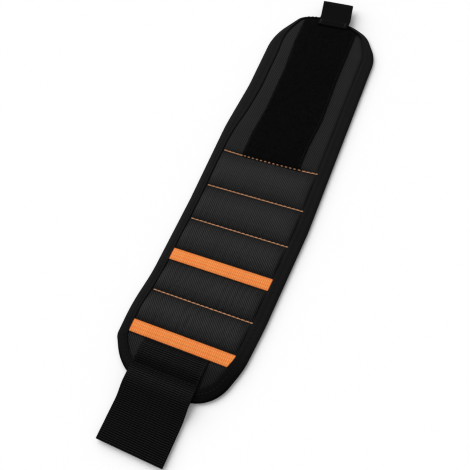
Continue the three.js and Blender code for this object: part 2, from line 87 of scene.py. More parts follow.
# Places of the layers, read from the solid parts.
TOP_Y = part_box("flap_binding")[1].y
BOTTOM_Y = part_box("end_binding")[0].y
BINDING_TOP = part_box("flap_binding")[1].z
COVER_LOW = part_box("row_1_cover")[0].z
CROWN_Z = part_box("row_1_cover")[1].z
FLAP_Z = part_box("flap_cover")[1].z
LAYER_GAP = 0.2 * MM
SEAM_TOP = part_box("tape_1")[0].z - LAYER_GAP
LINING_LOW, LINING_TOP = (corner.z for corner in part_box("row_1_lining"))

# Each seam and tape was sewn this far up from its plan.
SHIFT = [-0.1 * MM, 0.5 * MM, 0.6 * MM, 0.45 * MM, 0.8 * MM, 0.1 * MM]
SEW_Y = {k: (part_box(node)[0].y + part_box(node)[1].y) / 2 + SHIFT[k] for k, node in SEAMS.items()}
TAPE_EDGES = {k: [corner.y + SHIFT[k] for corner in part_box(node)] for k, node in TAPES.items()}

# Each pocket runs from the sewing line above it to the sewing line or tape below it.
POCKET_TOP = [SEW_Y[0], SEW_Y[1], SEW_Y[2], TAPE_EDGES[3][0], SEW_Y[4]]
POCKET_LOW = [SEW_Y[1], SEW_Y[2], TAPE_EDGES[3][1], SEW_Y[4], TAPE_EDGES[5][1]]
CUT_Y = [(top + low) / 2 for top, low in zip(POCKET_TOP, POCKET_LOW)]
END_TOP = TAPE_EDGES[5][0]


def length(label, text, default):
    """A size in metres that a user may change."""
    return bpy.props.FloatProperty(
        name=label, description=text, default=default, min=0.0, precision=5, unit="LENGTH"
    )


def colour(label, text, default):
    """A linear colour that a user may change."""
    return bpy.props.FloatVectorProperty(
        name=label, description=text, default=default, min=0.0, max=1.0, size=3, subtype="COLOR"
    )


class BandSizes(bpy.types.PropertyGroup):
    """Sizes of the sewn pieces."""

    flap_radius_left: length("Flap left radius", "Radius where the flap's left side leans in", 0.045)
    flap_radius_right: length("Flap right radius", "Radius where the flap's right side leans in", 0.030)
    end_radius_left: length("End left radius", "Corner radius where the slant meets the bottom edge", 0.038)
    end_radius_right: length("End right radius", "Corner radius at the lower end's right", 0.0265)
    binding_width: length("Binding width", "What shows of the binding on the front", 0.0083)
    binding_thick: length("Binding thickness", "Thickness of the binding cloth", 0.0009)
    binding_stitch: length("Binding stitch", "Length of a stitch and its gap along the binding", 0.0032)
    seam_stitch: length("Seam stitch", "Length of a stitch and its gap along the orange seams", 0.0034)
    thread_radius: length("Seam thread radius", "Radius of the orange seam thread", 0.00032)
    twill: length("Twill", "Distance between the cover's slanted twill lines", 0.00141)
    tape_rib: length("Tape rib", "Distance between the crosswise ribs of the tapes", 0.00138)
    tape_stitch: length("Tape stitch", "Length of a stitch and its gap along the tapes", 0.0023)
    loop_backing: length("Loop backing", "Thickness of the woven backing under the pile", 0.0005)
    pile_spacing: length("Pile spacing", "Distance between neighbouring pile loops", 0.00108)
    webbing_rib: length("Webbing rib", "Distance between the strap's crosswise ribs", 0.00136)
    webbing_cord: length("Webbing cord", "Distance between the strap's lengthwise cords", 0.0027)
    hook_spacing: length("Hook spacing", "Distance between neighbouring hooks", 0.0013)


class BandColours(bpy.types.PropertyGroup):
    """Colours of the sewn pieces."""

    cover: colour("Cover cloth", "Crests of the dark grey pocket cloth", (0.0432, 0.0434, 0.0443))
    lining: colour("Lining", "Black air mesh on the back", (0.0100, 0.0100, 0.0110))
    binding: colour("Binding", "Black edge binding", (0.0101, 0.0101, 0.0105))
    pile: colour("Loop pile", "Black pile of the loop patch", (0.0036, 0.0036, 0.0037))
    webbing: colour("Webbing", "Crests of the black strap", (0.0266, 0.0266, 0.0274))
    tab: colour("Tab webbing", "Black pull tab", (0.0038, 0.0038, 0.0040))
    hooks: colour("Hook tape", "Black hook tape", (0.0080, 0.0080, 0.0084))
    tape: colour("Orange tape", "Crests of the woven orange tape", (1.00, 0.405, 0.120))
    tape_gap: colour("Orange tape furrows", "Furrows of the woven orange tape", (0.84, 0.135, 0.018))
    thread: colour("Seam thread", "Orange sewing thread", (0.90, 0.43, 0.22))
    black_thread: colour("Black thread", "Black sewing thread", (0.0048, 0.0048, 0.0050))
    nickel: colour("Nickel", "Plating of the magnets", (0.62, 0.60, 0.56))


# Array helpers.

CROWN_POWER = 2.2  # of a rounded shoulder: 2 is an ellipse, and more is fuller
SLOPE_POWER = 1.3  # of a stuffed slope: 1 is straight, and more rounds its top off


def unit(vectors):
    """The vectors scaled to length one along the last axis."""
    return vectors / np.maximum(np.linalg.norm(vectors, axis=-1, keepdims=True), 1e-12)


def smooth(share):
    """Eases from 0 to 1 with level ends."""
    share = np.clip(share, 0, 1)
    return share * share * (3 - 2 * share)


def rise(distance, reach):
    """A rounded shoulder: 0 at its foot and 1 from `reach` on, along a curve a bit fuller than an ellipse."""
    share = np.clip(distance / reach, 0, 1)
    return (1 - (1 - share) ** CROWN_POWER) ** (1 / CROWN_POWER)


def slope(distance, reach):
    """A stuffed slope: 0 at its foot and 1 from `reach` on, nearly straight and rounded off at its top."""
    return 1 - (1 - np.clip(distance / reach, 0, 1)) ** SLOPE_POWER


def hump(distance, reach):
    """A bell curve: 1 at no distance, and 1/e at `reach`."""
    return np.exp(-((distance / reach) ** 2))


def ripple(place, pitch):
    """A cosine with one crest to each pitch."""
    return np.cos(2 * np.pi * place / pitch)


def waves(place, seed, longest, shortest, count=9):
    """A calm uneven line between about -1 and 1: sines with seeded lengths and starts."""
    draw = np.random.default_rng(seed)
    wave = draw.uniform(shortest, longest, count)
    start = draw.uniform(0, 2 * np.pi, count)
    return np.sin(2 * np.pi * place[..., None] / wave + start).sum(-1) / math.sqrt(count)


def even_steps(lines, step):
    """The lines in rising order, with even steps no longer than `step` between neighbours."""
    counts = [max(1, math.ceil((b - a) / step - 1e-6)) for a, b in zip(lines[:-1], lines[1:])]
    runs = [np.linspace(a, b, n + 1)[:-1] for a, b, n in zip(lines[:-1], lines[1:], counts)]
    return np.concatenate([*runs, lines[-1:]])


def nearest(places, place):
    """Index of the value in `places` that lies nearest to `place`."""
    return int(np.argmin(np.abs(np.asarray(places) - place)))


def refine(values, times):
    """Adds `times` - 1 values between neighbours on the first axis, on a cubic through the old values."""
    last = len(values) - 1
    place = np.arange(last * times + 1) / times
    index = np.minimum(place.astype(int), last - 1)
    t = (place - index).reshape(-1, *[1] * (values.ndim - 1))
    before, start, end, after = (values[np.clip(index + k, 0, last)] for k in (-1, 0, 1, 2))
    second = 2 * before - 5 * start + 4 * end - after
    third = 3 * (start - end) + after - before
    return start + 0.5 * ((end - before) * t + second * t**2 + third * t**3)


def reach_along(paths):
    """Distance along each path to each of its points, which lie on the last axis but one."""
    steps = np.linalg.norm(np.diff(paths, axis=-2), axis=-1)
    return np.concatenate([np.zeros_like(steps[..., :1]), np.cumsum(steps, axis=-1)], axis=-1)


def close(grid):
    """The grid with its first column repeated after its last one."""
    return np.concatenate([grid, grid[..., :1, :]], axis=-2)


def cells(grid):
    """Corners of each cell, in order round it, of a grid of rows and columns, values on the last axis."""
    near, far = grid[..., :-1, :, :], grid[..., 1:, :, :]
    corners = [near[..., :-1, :], near[..., 1:, :], far[..., 1:, :], far[..., :-1, :]]
    return np.stack(corners, axis=-2).reshape(-1, 4, grid.shape[-1])


def both_faces(top, under):
    """One ring for each row of a sheet: across its upper face and back across its lower face."""
    return np.concatenate([top, under[:, ::-1]], axis=1)


def ring_normals(rings, closed=False):
    """Smooth normals of a tube of rings: the step round the ring crossed with the step along the tube."""
    around = np.roll(rings, -1, axis=1) - np.roll(rings, 1, axis=1)
    if closed:
        rows = np.concatenate([rings[-2:-1], rings, rings[1:2]])
        along = rows[2:] - rows[:-2]
    else:
        along = np.gradient(rings, axis=0)
    return unit(np.cross(around, along))


# Meshes from whole arrays.


class Form:
    """A piece in the making: points, and groups of faces with a normal and a cloth place at each corner."""

    def __init__(self):
        self.points, self.faces, self.normals, self.cloth, self.finish = [], [], [], [], []
        self.count = 0

    def add(self, points, groups, finish=0):
        """Adds a closed set of faces in one finish, turned outwards if its volume comes out negative."""
        points = points.reshape(-1, 3)
        corners = [points[faces] for faces, normals, cloth in groups]
        volume = sum(
            np.einsum("fi,fi->", c[:, 0], np.cross(c[:, k], c[:, k + 1]))
            for c in corners
            for k in range(1, c.shape[1] - 1)
        )
        way = slice(None) if volume >= 0 else slice(None, None, -1)
        sign = 1 if volume >= 0 else -1
        for faces, normals, cloth in groups:
            self.faces.append(faces[:, way] + self.count)
            self.normals.append(sign * normals[:, way].reshape(-1, 3))
            self.cloth.append(cloth[:, way].reshape(-1, 2))
            self.finish.append(np.full(len(faces), finish, np.int32))
        self.points.append(points)
        self.count += len(points)

    def rings(self, rings, normals, cloth, finish=0):
        """Adds a tube of closed rings: quads between neighbouring points, and a strip of quads over each end.
        Opposite points of a ring, the first and the last, the second and the last but one, close the ends."""
        rows, around = rings.shape[:2]
        index = np.arange(rows * around).reshape(rows, around)
        quads = cells(close(index[..., None]))[..., 0]
        if cloth.shape[1] == around:
            cloth = close(cloth)
        j = np.arange(around // 2 - 1)
        strip = np.stack([j, j + 1, around - 2 - j, around - 1 - j], axis=-1)
        points, flat = rings.reshape(-1, 3), cloth[:, :-1].reshape(-1, 2)
        groups = [(quads, normals.reshape(-1, 3)[quads], cells(cloth))]
        for faces in (index[-1][strip], index[0][strip[:, ::-1]]):
            corner = points[faces]
            facing = unit(np.cross(corner[:, 2] - corner[:, 0], corner[:, 3] - corner[:, 1]))
            groups.append((faces, np.repeat(facing[:, None], 4, axis=1), flat[faces]))
        self.add(points, groups, finish)

    def tubes(self, paths, side, radius, sides, finish=0):
        """Adds many tubes: paths (count, rings, 3), a direction square to each, and a radius at each ring."""
        count, rings = paths.shape[:2]
        along = unit(np.gradient(paths, axis=1))
        side = np.broadcast_to(unit(side)[:, None], paths.shape)
        other = unit(np.cross(along, side))
        turn = (2 * np.pi * np.arange(sides) / sides)[None, None, :, None]
        out = np.cos(turn) * side[:, :, None] + np.sin(turn) * other[:, :, None]
        points = paths[:, :, None] + np.broadcast_to(radius, (count, rings))[:, :, None, None] * out
        index = np.arange(count * rings * sides).reshape(count, rings, sides)
        quads = cells(close(index[..., None]))[..., 0]
        girth = 2 * np.pi * np.max(radius) * np.arange(sides + 1) / sides
        cloth = np.stack(np.broadcast_arrays(girth, reach_along(paths)[:, :, None]), axis=-1)
        normals, flat = out.reshape(-1, 3), cloth[:, :, :-1].reshape(-1, 2)
        groups = [(quads, normals[quads], cells(cloth))]
        for faces, facing in ((index[:, -1], along[:, -1]), (index[:, 0, ::-1], -along[:, 0])):
            groups.append((faces, np.repeat(facing[:, None], sides, axis=1), flat[faces]))
        self.add(points, groups, finish)

    def piece(self, name, *finishes, painted_shading=None):
        """Makes the mesh object, with its cloth places as a UV map in metres and its smooth normals kept.
        Its optional painted shading is a value from 0 to 1 for each of the first points: 1 keeps a finish's
        tone, and less paints shade."""
        points = np.concatenate(self.points).astype(np.float32)
        corners = np.concatenate([faces.ravel() for faces in self.faces]).astype(np.int32)
        sizes = np.concatenate([np.full(len(faces), faces.shape[1]) for faces in self.faces])
        starts = np.concatenate([[0], np.cumsum(sizes)[:-1]]).astype(np.int32)
        mesh = bpy.data.meshes.new(name)
        mesh.vertices.add(len(points))
        mesh.vertices.foreach_set("co", points.ravel())
        mesh.loops.add(len(corners))
        mesh.loops.foreach_set("vertex_index", corners)
        mesh.polygons.add(len(starts))
        mesh.polygons.foreach_set("loop_start", starts)
        mesh.polygons.foreach_set("material_index", np.concatenate(self.finish))
        mesh.polygons.foreach_set("use_smooth", np.ones(len(starts), bool))
        mesh.update(calc_edges=True)
        cloth = mesh.uv_layers.new(name="cloth")
        cloth.data.foreach_set("uv", np.concatenate(self.cloth).astype(np.float32).ravel())
        mesh.normals_split_custom_set(np.concatenate(self.normals).astype(np.float32))
        # Painted shading: a value on each point that darkens the finish's tone as painted shade.
        if painted_shading is not None:
            shading_values = np.concatenate([np.ravel(painted_shading), np.ones(len(points) - np.size(painted_shading))]).astype(np.float32)
            mesh.attributes.new("painted_shading", "FLOAT", "POINT").data.foreach_set("value", shading_values)
        for finish in finishes:
            mesh.materials.append(finish)
        made = bpy.data.objects.new(name, mesh)
        bpy.context.scene.collection.objects.link(made)
        return made


ROUND_START = 0.3  # radians: the round side of a woven band starts here, so that it is blunt


def flat_section(half, thick, columns, edge_steps=4):
    """Places across a flat woven band and half its thickness there: round sides, even steps between."""
    radius = thick / 2
    turn = np.linspace(ROUND_START, np.pi / 2, edge_steps)
    edge, lift = half - radius + radius * np.cos(turn), radius * np.sin(turn)
    inner = np.linspace(-half + radius, half - radius, columns)[1:-1]
    across = np.concatenate([-edge, inner, edge[::-1]])
    return across, np.concatenate([lift, np.full(len(inner), radius), lift[::-1]])


def ribbon(path, normal, section, relief=0.0, under=0.0):
    """A flat band carried along a path. Each ring is the section set square to the path: the upper face
    raised by `relief`, then the lower face, raised by `under`, back again. Gives rings and cloth places."""
    offset, lift = section
    middle = path[:, None] + offset[None, :, None] * ACROSS
    top = middle + (lift + relief)[..., None] * normal[:, None]
    low = middle - (lift + under)[..., None] * normal[:, None]
    cloth = np.stack(np.broadcast_arrays(offset[None], reach_along(path)[:, None]), axis=-1)
    return both_faces(top, low), both_faces(cloth, cloth)


def webbing_relief(reach, from_side, pitch, plain, ease, grooves, groove_half, rib, groove):
    """Relief of a webbing's face in millimetres: a cosine of crosswise ribs between two plain sides, less a
    bell curve for each lengthwise groove near the sides."""
    ribs = ripple(reach[:, None], pitch) * smooth((from_side - plain) / ease)
    channels = sum(hump(from_side - place, groove_half) for place in grooves)
    return rib * ribs - groove * channels


# Stitches.

STITCH_RINGS = 6
STITCH_SIDES = 6
STITCH_POWER = 0.6  # of the sine: 1 is a half sine, and less is flatter
BLACK_RADIUS = 0.2 * MM  # of the black thread


def sew(form, starts, ends, up, radius, finish, lift=0.6, dive=1.2):
    """Adds stitches: each comes out of the cloth at its start, arches over it and goes back in at its end.
    The arch is a flattened half sine, `lift` radii high and `dive` radii deep at its ends."""
    t = np.linspace(0, 1, STITCH_RINGS)
    arch = np.sin(np.pi * t) ** STITCH_POWER
    height = radius * ((lift + dive) * arch - dive)
    up = np.broadcast_to(up, starts.shape)
    paths = starts[:, None] + (ends - starts)[:, None] * t[None, :, None]
    paths = paths + height[None, :, None] * up[:, None]
    form.tubes(paths, np.cross(up, ends - starts), radius * (0.5 + 0.5 * arch), STITCH_SIDES, finish)


def sew_across(form, start, end, y, z, radius, finish, lift=0.6):
    """Adds a straight row of stitches across the band, at one height and level."""
    starts = np.column_stack([start, np.full(len(start), y), np.full(len(start), z)])
    sew(form, starts, starts + (end - start)[:, None] * ACROSS, UP, radius, finish, lift)


def dashes(low, high, pitch, share=0.84):
    """Starts and ends of even stitches that fill a line from low to high."""
    count = max(1, round((high - low) / pitch))
    step = (high - low) / count
    start = low + step * (np.arange(count) + (1 - share) / 2)
    return start, start + step * share


# What a piece stands for.


def stretch_name(kind, fold):
    """Name of the stretch of a sheet that bends over a fold line."""
    return f"{kind}_{FOLDS[fold][1]}_to_{FOLDS[fold][2]}"


def solids_of(fold, *kinds):
    """The solids that a stretch over a fold line stands for: those of these kinds on the body above it, and
    at the last fold line those of the lower end as well."""
    owners = [FOLDS[fold][1], "end"] if fold == LAST_FOLD else [FOLDS[fold][1]]
    starts = tuple(f"{owner}_{kind}" for owner in owners for kind in kinds)
    return sorted(node for node in frame["nodes"] if node.startswith(starts))


def bend(made, fold, *nodes):
    """Bakes the piece's place into its mesh and hides the solids that it stands for. The fold line it is
    given is not used.
    """
    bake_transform(made)
    if nodes:
        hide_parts(*nodes)


# The band's outline.

ARC_STEPS = 49
BAND_HALF = 46 * MM  # of an even band, from which the sewn edge swells and draws in
SIDE_RADIUS = 150 * MM  # where a side swells or draws in
SHOULDER_OUT = 2.5 * MM  # the shoulder at the lower left stands out this far
SHOULDER_RADIUS = 8 * MM
SHOULDER_HEIGHT = 25 * MM  # above the bottom edge
SLANT_WIDTH = 16.3 * MM  # of the slant from that shoulder to the bottom edge
EDGE_SHIFT = 0.2 * MM  # the sewn edge lies this far to the right of its plan
FLAP_END = slice(6, 10)  # corners of the flap's upper end
EDGE_POINTS = 700  # on the edge, to which distances are measured
DEPTH_PARTS = 24  # distances are taken in parts, to save memory


def edge_corners(sizes):
    """Corners of the band's edge with the radius at each, anticlockwise from the foot of the slant at the
    lower left: up the right side and down the left. As sewn, the sides swell and draw in by a few
    millimetres."""
    row_2, row_4, row_5 = ((FOLD_Y[k] + FOLD_Y[k + 1]) / 2 for k in (1, 3, 4))
    shoulder = -BAND_HALF - SHOULDER_OUT
    return np.array([
        (shoulder + SLANT_WIDTH, BOTTOM_Y, sizes.end_radius_left),
        (33.7 * MM, BOTTOM_Y, sizes.end_radius_right),
        (BAND_HALF - 2.4 * MM, BOTTOM_Y + 33.1 * MM, 60 * MM),
        (BAND_HALF - 0.3 * MM, FOLD_Y[4], SIDE_RADIUS),
        (BAND_HALF + 1.4 * MM, row_2, SIDE_RADIUS),
        (BAND_HALF - 3.4 * MM, TOP_Y - 29.2 * MM, sizes.flap_radius_right),
        (29.4 * MM, TOP_Y - 8.9 * MM, 25 * MM),
        (13.9 * MM, TOP_Y - 0.8 * MM, 40 * MM),
        (-14.0 * MM, TOP_Y + 3.0 * MM, 40 * MM),
        (-30.1 * MM, TOP_Y - 0.4 * MM, 9 * MM),
        (-BAND_HALF + 0.2 * MM, TOP_Y - 25.5 * MM, sizes.flap_radius_left),
        (-BAND_HALF + 1.2 * MM, FOLD_Y[0] + 64 * MM, SIDE_RADIUS),
        (-BAND_HALF - 1.2 * MM, FOLD_Y[0] + 22 * MM, SIDE_RADIUS),
        (-BAND_HALF + 0.4 * MM, row_2, SIDE_RADIUS),
        (-BAND_HALF - 0.1 * MM, row_4, SIDE_RADIUS),
        (-BAND_HALF - 3.2 * MM, row_5 + 2 * MM, SIDE_RADIUS),
        (shoulder, BOTTOM_Y + SHOULDER_HEIGHT, SHOULDER_RADIUS),
    ])


class Outline:
    """The edge of the band: straight runs, and an arc at each corner, which turns inwards where the edge
    draws in. Keeps points, outward directions and the distance along the edge."""

    def __init__(self, sizes):
        edge = edge_corners(sizes)
        corners, radii = edge[:, :2], edge[:, 2]
        come = unit(corners - np.roll(corners, 1, axis=0))
        leave = np.roll(come, -1, axis=0)
        turn = np.arctan2(come[:, 0] * leave[:, 1] - come[:, 1] * leave[:, 0], (come * leave).sum(-1))
        bulge = (np.sign(turn) * radii)[:, None]
        start = corners - come * (radii * np.tan(np.abs(turn) / 2))[:, None]
        inward = np.stack([-come[:, 1], come[:, 0]], axis=-1)
        begin = np.arctan2(-inward[:, 1], -inward[:, 0])
        angle = begin[:, None] + turn[:, None] * np.linspace(0, 1, ARC_STEPS)
        self.out = np.stack([np.cos(angle), np.sin(angle)], axis=-1)
        self.arcs = (start + bulge * inward)[:, None] + bulge[:, None] * self.out
        self.arcs[..., 0] += EDGE_SHIFT
        self.line, self.line_out = (close(arcs.reshape(-1, 2)) for arcs in (self.arcs, self.out))
        self.reach = reach_along(self.line)

    def at(self, distance):
        """Points and outward directions at distances along the edge."""
        place, out = (
            np.stack([np.interp(distance, self.reach, values) for values in line.T], axis=-1)
            for line in (self.line, self.line_out)
        )
        return place, unit(out)

    def crossings(self, heights):
        """Distances along the edge where it passes the given heights, on the right side and on the left."""
        peak = np.argmax(self.line[:, 1])
        right = np.interp(heights, self.line[ARC_STEPS:peak, 1], self.reach[ARC_STEPS:peak])
        left = np.interp(-np.asarray(heights), -self.line[peak:, 1], self.reach[peak:])
        return right, left

    def sides(self, inset, heights):
        """Left and right places at the given heights of the outline drawn in by `inset`."""
        drawn = (self.arcs - inset * self.out).reshape(-1, 2)
        peak = np.argmax(drawn[:, 1])
        right = drawn[ARC_STEPS:peak]
        left = np.concatenate([drawn[peak:], drawn[:ARC_STEPS]])[::-1]
        return np.interp(heights, left[:, 1], left[:, 0]), np.interp(heights, right[:, 1], right[:, 0])

    def top(self, inset, x):
        """Height of the outline drawn in by `inset`, at places across the flap's end."""
        drawn = (self.arcs - inset * self.out)[FLAP_END].reshape(-1, 2)[::-1]
        return np.interp(x, drawn[:, 0], drawn[:, 1])

    def depth(self, x, y):
        """Least distance from places inside the band to its edge."""
        edge = self.at(np.linspace(0, self.reach[-1], EDGE_POINTS))[0]
        inside = np.stack([x, y], axis=-1).reshape(-1, 1, 2)
        parts = [np.linalg.norm(part - edge, axis=-1).min(-1) for part in np.array_split(inside, DEPTH_PARTS)]
        return np.concatenate(parts).reshape(x.shape)


# Shader nodes.


class Nodes:
    """Adds nodes to one tree. An input is another node's output or a plain value."""

    def __init__(self, tree):
        self.tree = tree

    def add(self, kind, inputs=(), **settings):
        """A node with its settings and inputs, which go by name or by number."""
        node = self.tree.nodes.new(kind)
        for name, value in settings.items():
            setattr(node, name, value)
        for name, value in dict(inputs).items():
            self.put(node.inputs[name], value)
        return node

    def put(self, socket, value):
        """Links an output to the socket, or sets its value."""
        if isinstance(value, bpy.types.NodeSocket):
            self.tree.links.new(value, socket)
        else:
            socket.default_value = value

    def math(self, operation, *values):
        """The result of one sum on one to three values."""
        node = self.add("ShaderNodeMath", operation=operation)
        for socket, value in zip(node.inputs, values):
            self.put(socket, value)
        return node.outputs[0]

    def ramp(self, value, low, high, to_low=0.0, to_high=1.0):
        """Eases from to_low to to_high as the value goes from low to high."""
        node = self.add("ShaderNodeMapRange", interpolation_type="SMOOTHSTEP")
        for socket, number in zip(node.inputs, (value, low, high, to_low, to_high)):
            self.put(socket, number)
        return node.outputs[0]

    def tint(self, colour_a, colour_b, share, blend="MIX"):
        """One colour laid over another."""
        node = self.add("ShaderNodeMix", data_type="RGBA", blend_type=blend)
        self.put(node.inputs["Factor"], share)
        for name, value in (("A", colour_a), ("B", colour_b)):
            socket = next(s for s in node.inputs if s.name == name and s.type == "RGBA")
            self.put(socket, (*value, 1.0) if isinstance(value, tuple) else value)
        return next(s for s in node.outputs if s.type == "RGBA")

    def noise(self, place, scale, detail):
        """A soft noise over places, with a scale in cells to the metre."""
        inputs = {"Vector": place, "Scale": scale, "Detail": detail}
        return self.add("ShaderNodeTexNoise", inputs).outputs["Fac"]

    def effect(self, name, **inputs):
        """A copy of a shared group, built on first use, with its own values. Sockets have _ for a space."""
        tree = bpy.data.node_groups.get(name) or EFFECTS[name](name)
        named = {label.replace("_", " "): value for label, value in inputs.items()}
        return self.add("ShaderNodeGroup", named, node_tree=tree).outputs


def node_group(name, numbers, outputs):
    """An empty shader group that takes cloth places and named numbers, its nodes and its two ends."""
    tree = bpy.data.node_groups.new(name, "ShaderNodeTree")
    tree.interface.new_socket("Cloth", in_out="INPUT", socket_type="NodeSocketVector")
    for label in numbers:
        tree.interface.new_socket(label, in_out="INPUT", socket_type="NodeSocketFloat")
    for label in outputs:
        tree.interface.new_socket(label, in_out="OUTPUT", socket_type="NodeSocketFloat")
    nodes = Nodes(tree)
    return tree, nodes, nodes.add("NodeGroupInput").outputs, nodes.add("NodeGroupOutput").inputs


ROW_OFFSET = 517.3  # keeps the draws of the lengthwise and crosswise threads apart


def build_weave(name):
    """Plain weave: threads both ways, each a half-sine arch, the upper one changing from square to square.
    Height is the upper thread's arch, Gap the dark between threads, Tone differs from thread to thread."""
    tree, n, given, out = node_group(name, ("Across", "Along"), ("Height", "Gap", "Tone"))
    split = n.add("ShaderNodeSeparateXYZ", {0: given["Cloth"]}).outputs
    u, v = n.math("DIVIDE", split[0], given["Across"]), n.math("DIVIDE", split[1], given["Along"])
    column, row = n.math("FLOOR", u), n.math("FLOOR", v)
    arch_u = n.math("SINE", n.math("MULTIPLY", n.math("FRACT", u), math.pi))
    arch_v = n.math("SINE", n.math("MULTIPLY", n.math("FRACT", v), math.pi))
    square = n.math("PINGPONG", n.math("ADD", column, row), 1.0)
    other = n.math("SUBTRACT", 1.0, square)
    upper = n.math("ADD", n.math("MULTIPLY", arch_u, other), n.math("MULTIPLY", arch_v, square))
    lower = n.math("ADD", n.math("MULTIPLY", arch_u, square), n.math("MULTIPLY", arch_v, other))
    height = n.math("MULTIPLY", upper, n.math("MULTIPLY_ADD", lower, 0.35, 0.65))
    row_thread = n.math("MULTIPLY", n.math("ADD", row, ROW_OFFSET), square)
    thread = n.math("ADD", n.math("MULTIPLY", column, other), row_thread)
    tone = n.add("ShaderNodeTexWhiteNoise", {"W": thread}, noise_dimensions="1D").outputs["Value"]
    n.put(out["Height"], height)
    n.put(out["Gap"], n.ramp(height, 0.05, 0.45, 1.0, 0.0))
    n.put(out["Tone"], tone)
    return tree


def build_fibre(name):
    """Uneven dye and stray fibres: Mottle is a wide soft noise, Fuzz a fine one, Lint rare specks."""
    tree, n, given, out = node_group(name, (), ("Mottle", "Fuzz", "Lint"))
    for label, scale, detail in (("Mottle", 55.0, 3.0), ("Fuzz", 2600.0, 2.0)):
        n.put(out[label], n.ramp(n.noise(given["Cloth"], scale, detail), 0.25, 0.75))
    spots = n.add("ShaderNodeTexVoronoi", {"Vector": given["Cloth"], "Scale": 420.0, "Randomness": 1.0})
    rare = n.add("ShaderNodeSeparateColor", {0: spots.outputs["Color"]}).outputs[0]
    speck = n.ramp(spots.outputs["Distance"], 0.06, 0.16, 1.0, 0.0)
    n.put(out["Lint"], n.math("MULTIPLY", speck, n.math("GREATER_THAN", rare, 0.93)))
    return tree


HONEYCOMB = 1.732  # height to width of a grid whose shifted copy fills it to a honeycomb


def build_holes(name):
    """Air mesh: a honeycomb of round holes. Two grids, one shifted by half a step, give the rows of holes.
    Height is the cloth between the holes, Hole is the dark inside them."""
    tree, n, given, out = node_group(name, ("Step",), ("Height", "Hole"))
    split = n.add("ShaderNodeSeparateXYZ", {0: given["Cloth"]}).outputs
    tall = n.math("MULTIPLY", given["Step"], HONEYCOMB)
    near = []
    for shift in (0.0, 0.5):
        parts = []
        for value, step in ((split[0], given["Step"]), (split[1], tall)):
            cell = n.math("FRACT", n.math("ADD", n.math("DIVIDE", value, step), shift))
            parts.append(n.math("SUBTRACT", cell, 0.5))
        tall_part = n.math("MULTIPLY", parts[1], HONEYCOMB)
        square = n.math("ADD", n.math("POWER", parts[0], 2.0), n.math("POWER", tall_part, 2.0))
        near.append(n.math("SQRT", square))
    distance = n.math("MINIMUM", *near)
    n.put(out["Height"], n.ramp(distance, 0.22, 0.42))
    n.put(out["Hole"], n.ramp(distance, 0.18, 0.32, 1.0, 0.0))
    return tree


def build_stripes(name):
    """Ribs or twill lines: a cosine of the cloth place, with Across and Along stripes to the metre, which
    wander a little with a soft noise. Wave is 0 in the furrows and 1 on the crests."""
    tree, n, given, out = node_group(name, ("Across", "Along"), ("Wave",))
    split = n.add("ShaderNodeSeparateXYZ", {0: given["Cloth"]}).outputs
    count = n.math("MULTIPLY_ADD", split[0], given["Across"], n.math("MULTIPLY", split[1], given["Along"]))
    wander = n.math("SUBTRACT", n.noise(given["Cloth"], 130.0, 1.0), 0.5)
    turns = n.math("MULTIPLY_ADD", wander, 0.45, count)
    wave = n.math("COSINE", n.math("MULTIPLY", turns, 2 * math.pi))
    n.put(out["Wave"], n.math("MULTIPLY_ADD", wave, 0.5, 0.5))
    return tree


EFFECTS = {
    "Plain weave": build_weave,
    "Fibre and lint": build_fibre,
    "Mesh holes": build_holes,
    "Stripes": build_stripes,
}


class Finish(Nodes):
    """A material: a principled shader with its plain values, and nodes that read the piece's cloth places."""

    def __init__(self, name, **plain):
        self.material = bpy.data.materials.new(name)
        self.material.use_nodes = True
        super().__init__(self.material.node_tree)
        self.shader = self.tree.nodes["Principled BSDF"]
        for label, value in plain.items():
            self.shader.inputs[label.replace("_", " ")].default_value = value
        self.cloth = self.add("ShaderNodeUVMap", uv_map="cloth").outputs["UV"]

    def set(self, label, value):
        """Feeds one input of the shader."""
        self.put(self.shader.inputs[label], value)

    def roughen(self, value, spread, middle):
        """Lets the roughness vary by `spread` with a value, about its middle."""
        self.set("Roughness", self.math("MULTIPLY_ADD", value, spread, middle))

    def bump(self, height, distance):
        """Raises the surface by height times distance."""
        node = self.add("ShaderNodeBump", {"Height": height, "Distance": distance, "Strength": 1.0})
        self.set("Normal", node.outputs["Normal"])


def shade(base, factor):
    """A colour made darker or lighter."""
    return tuple(min(1.0, part * factor) for part in base)


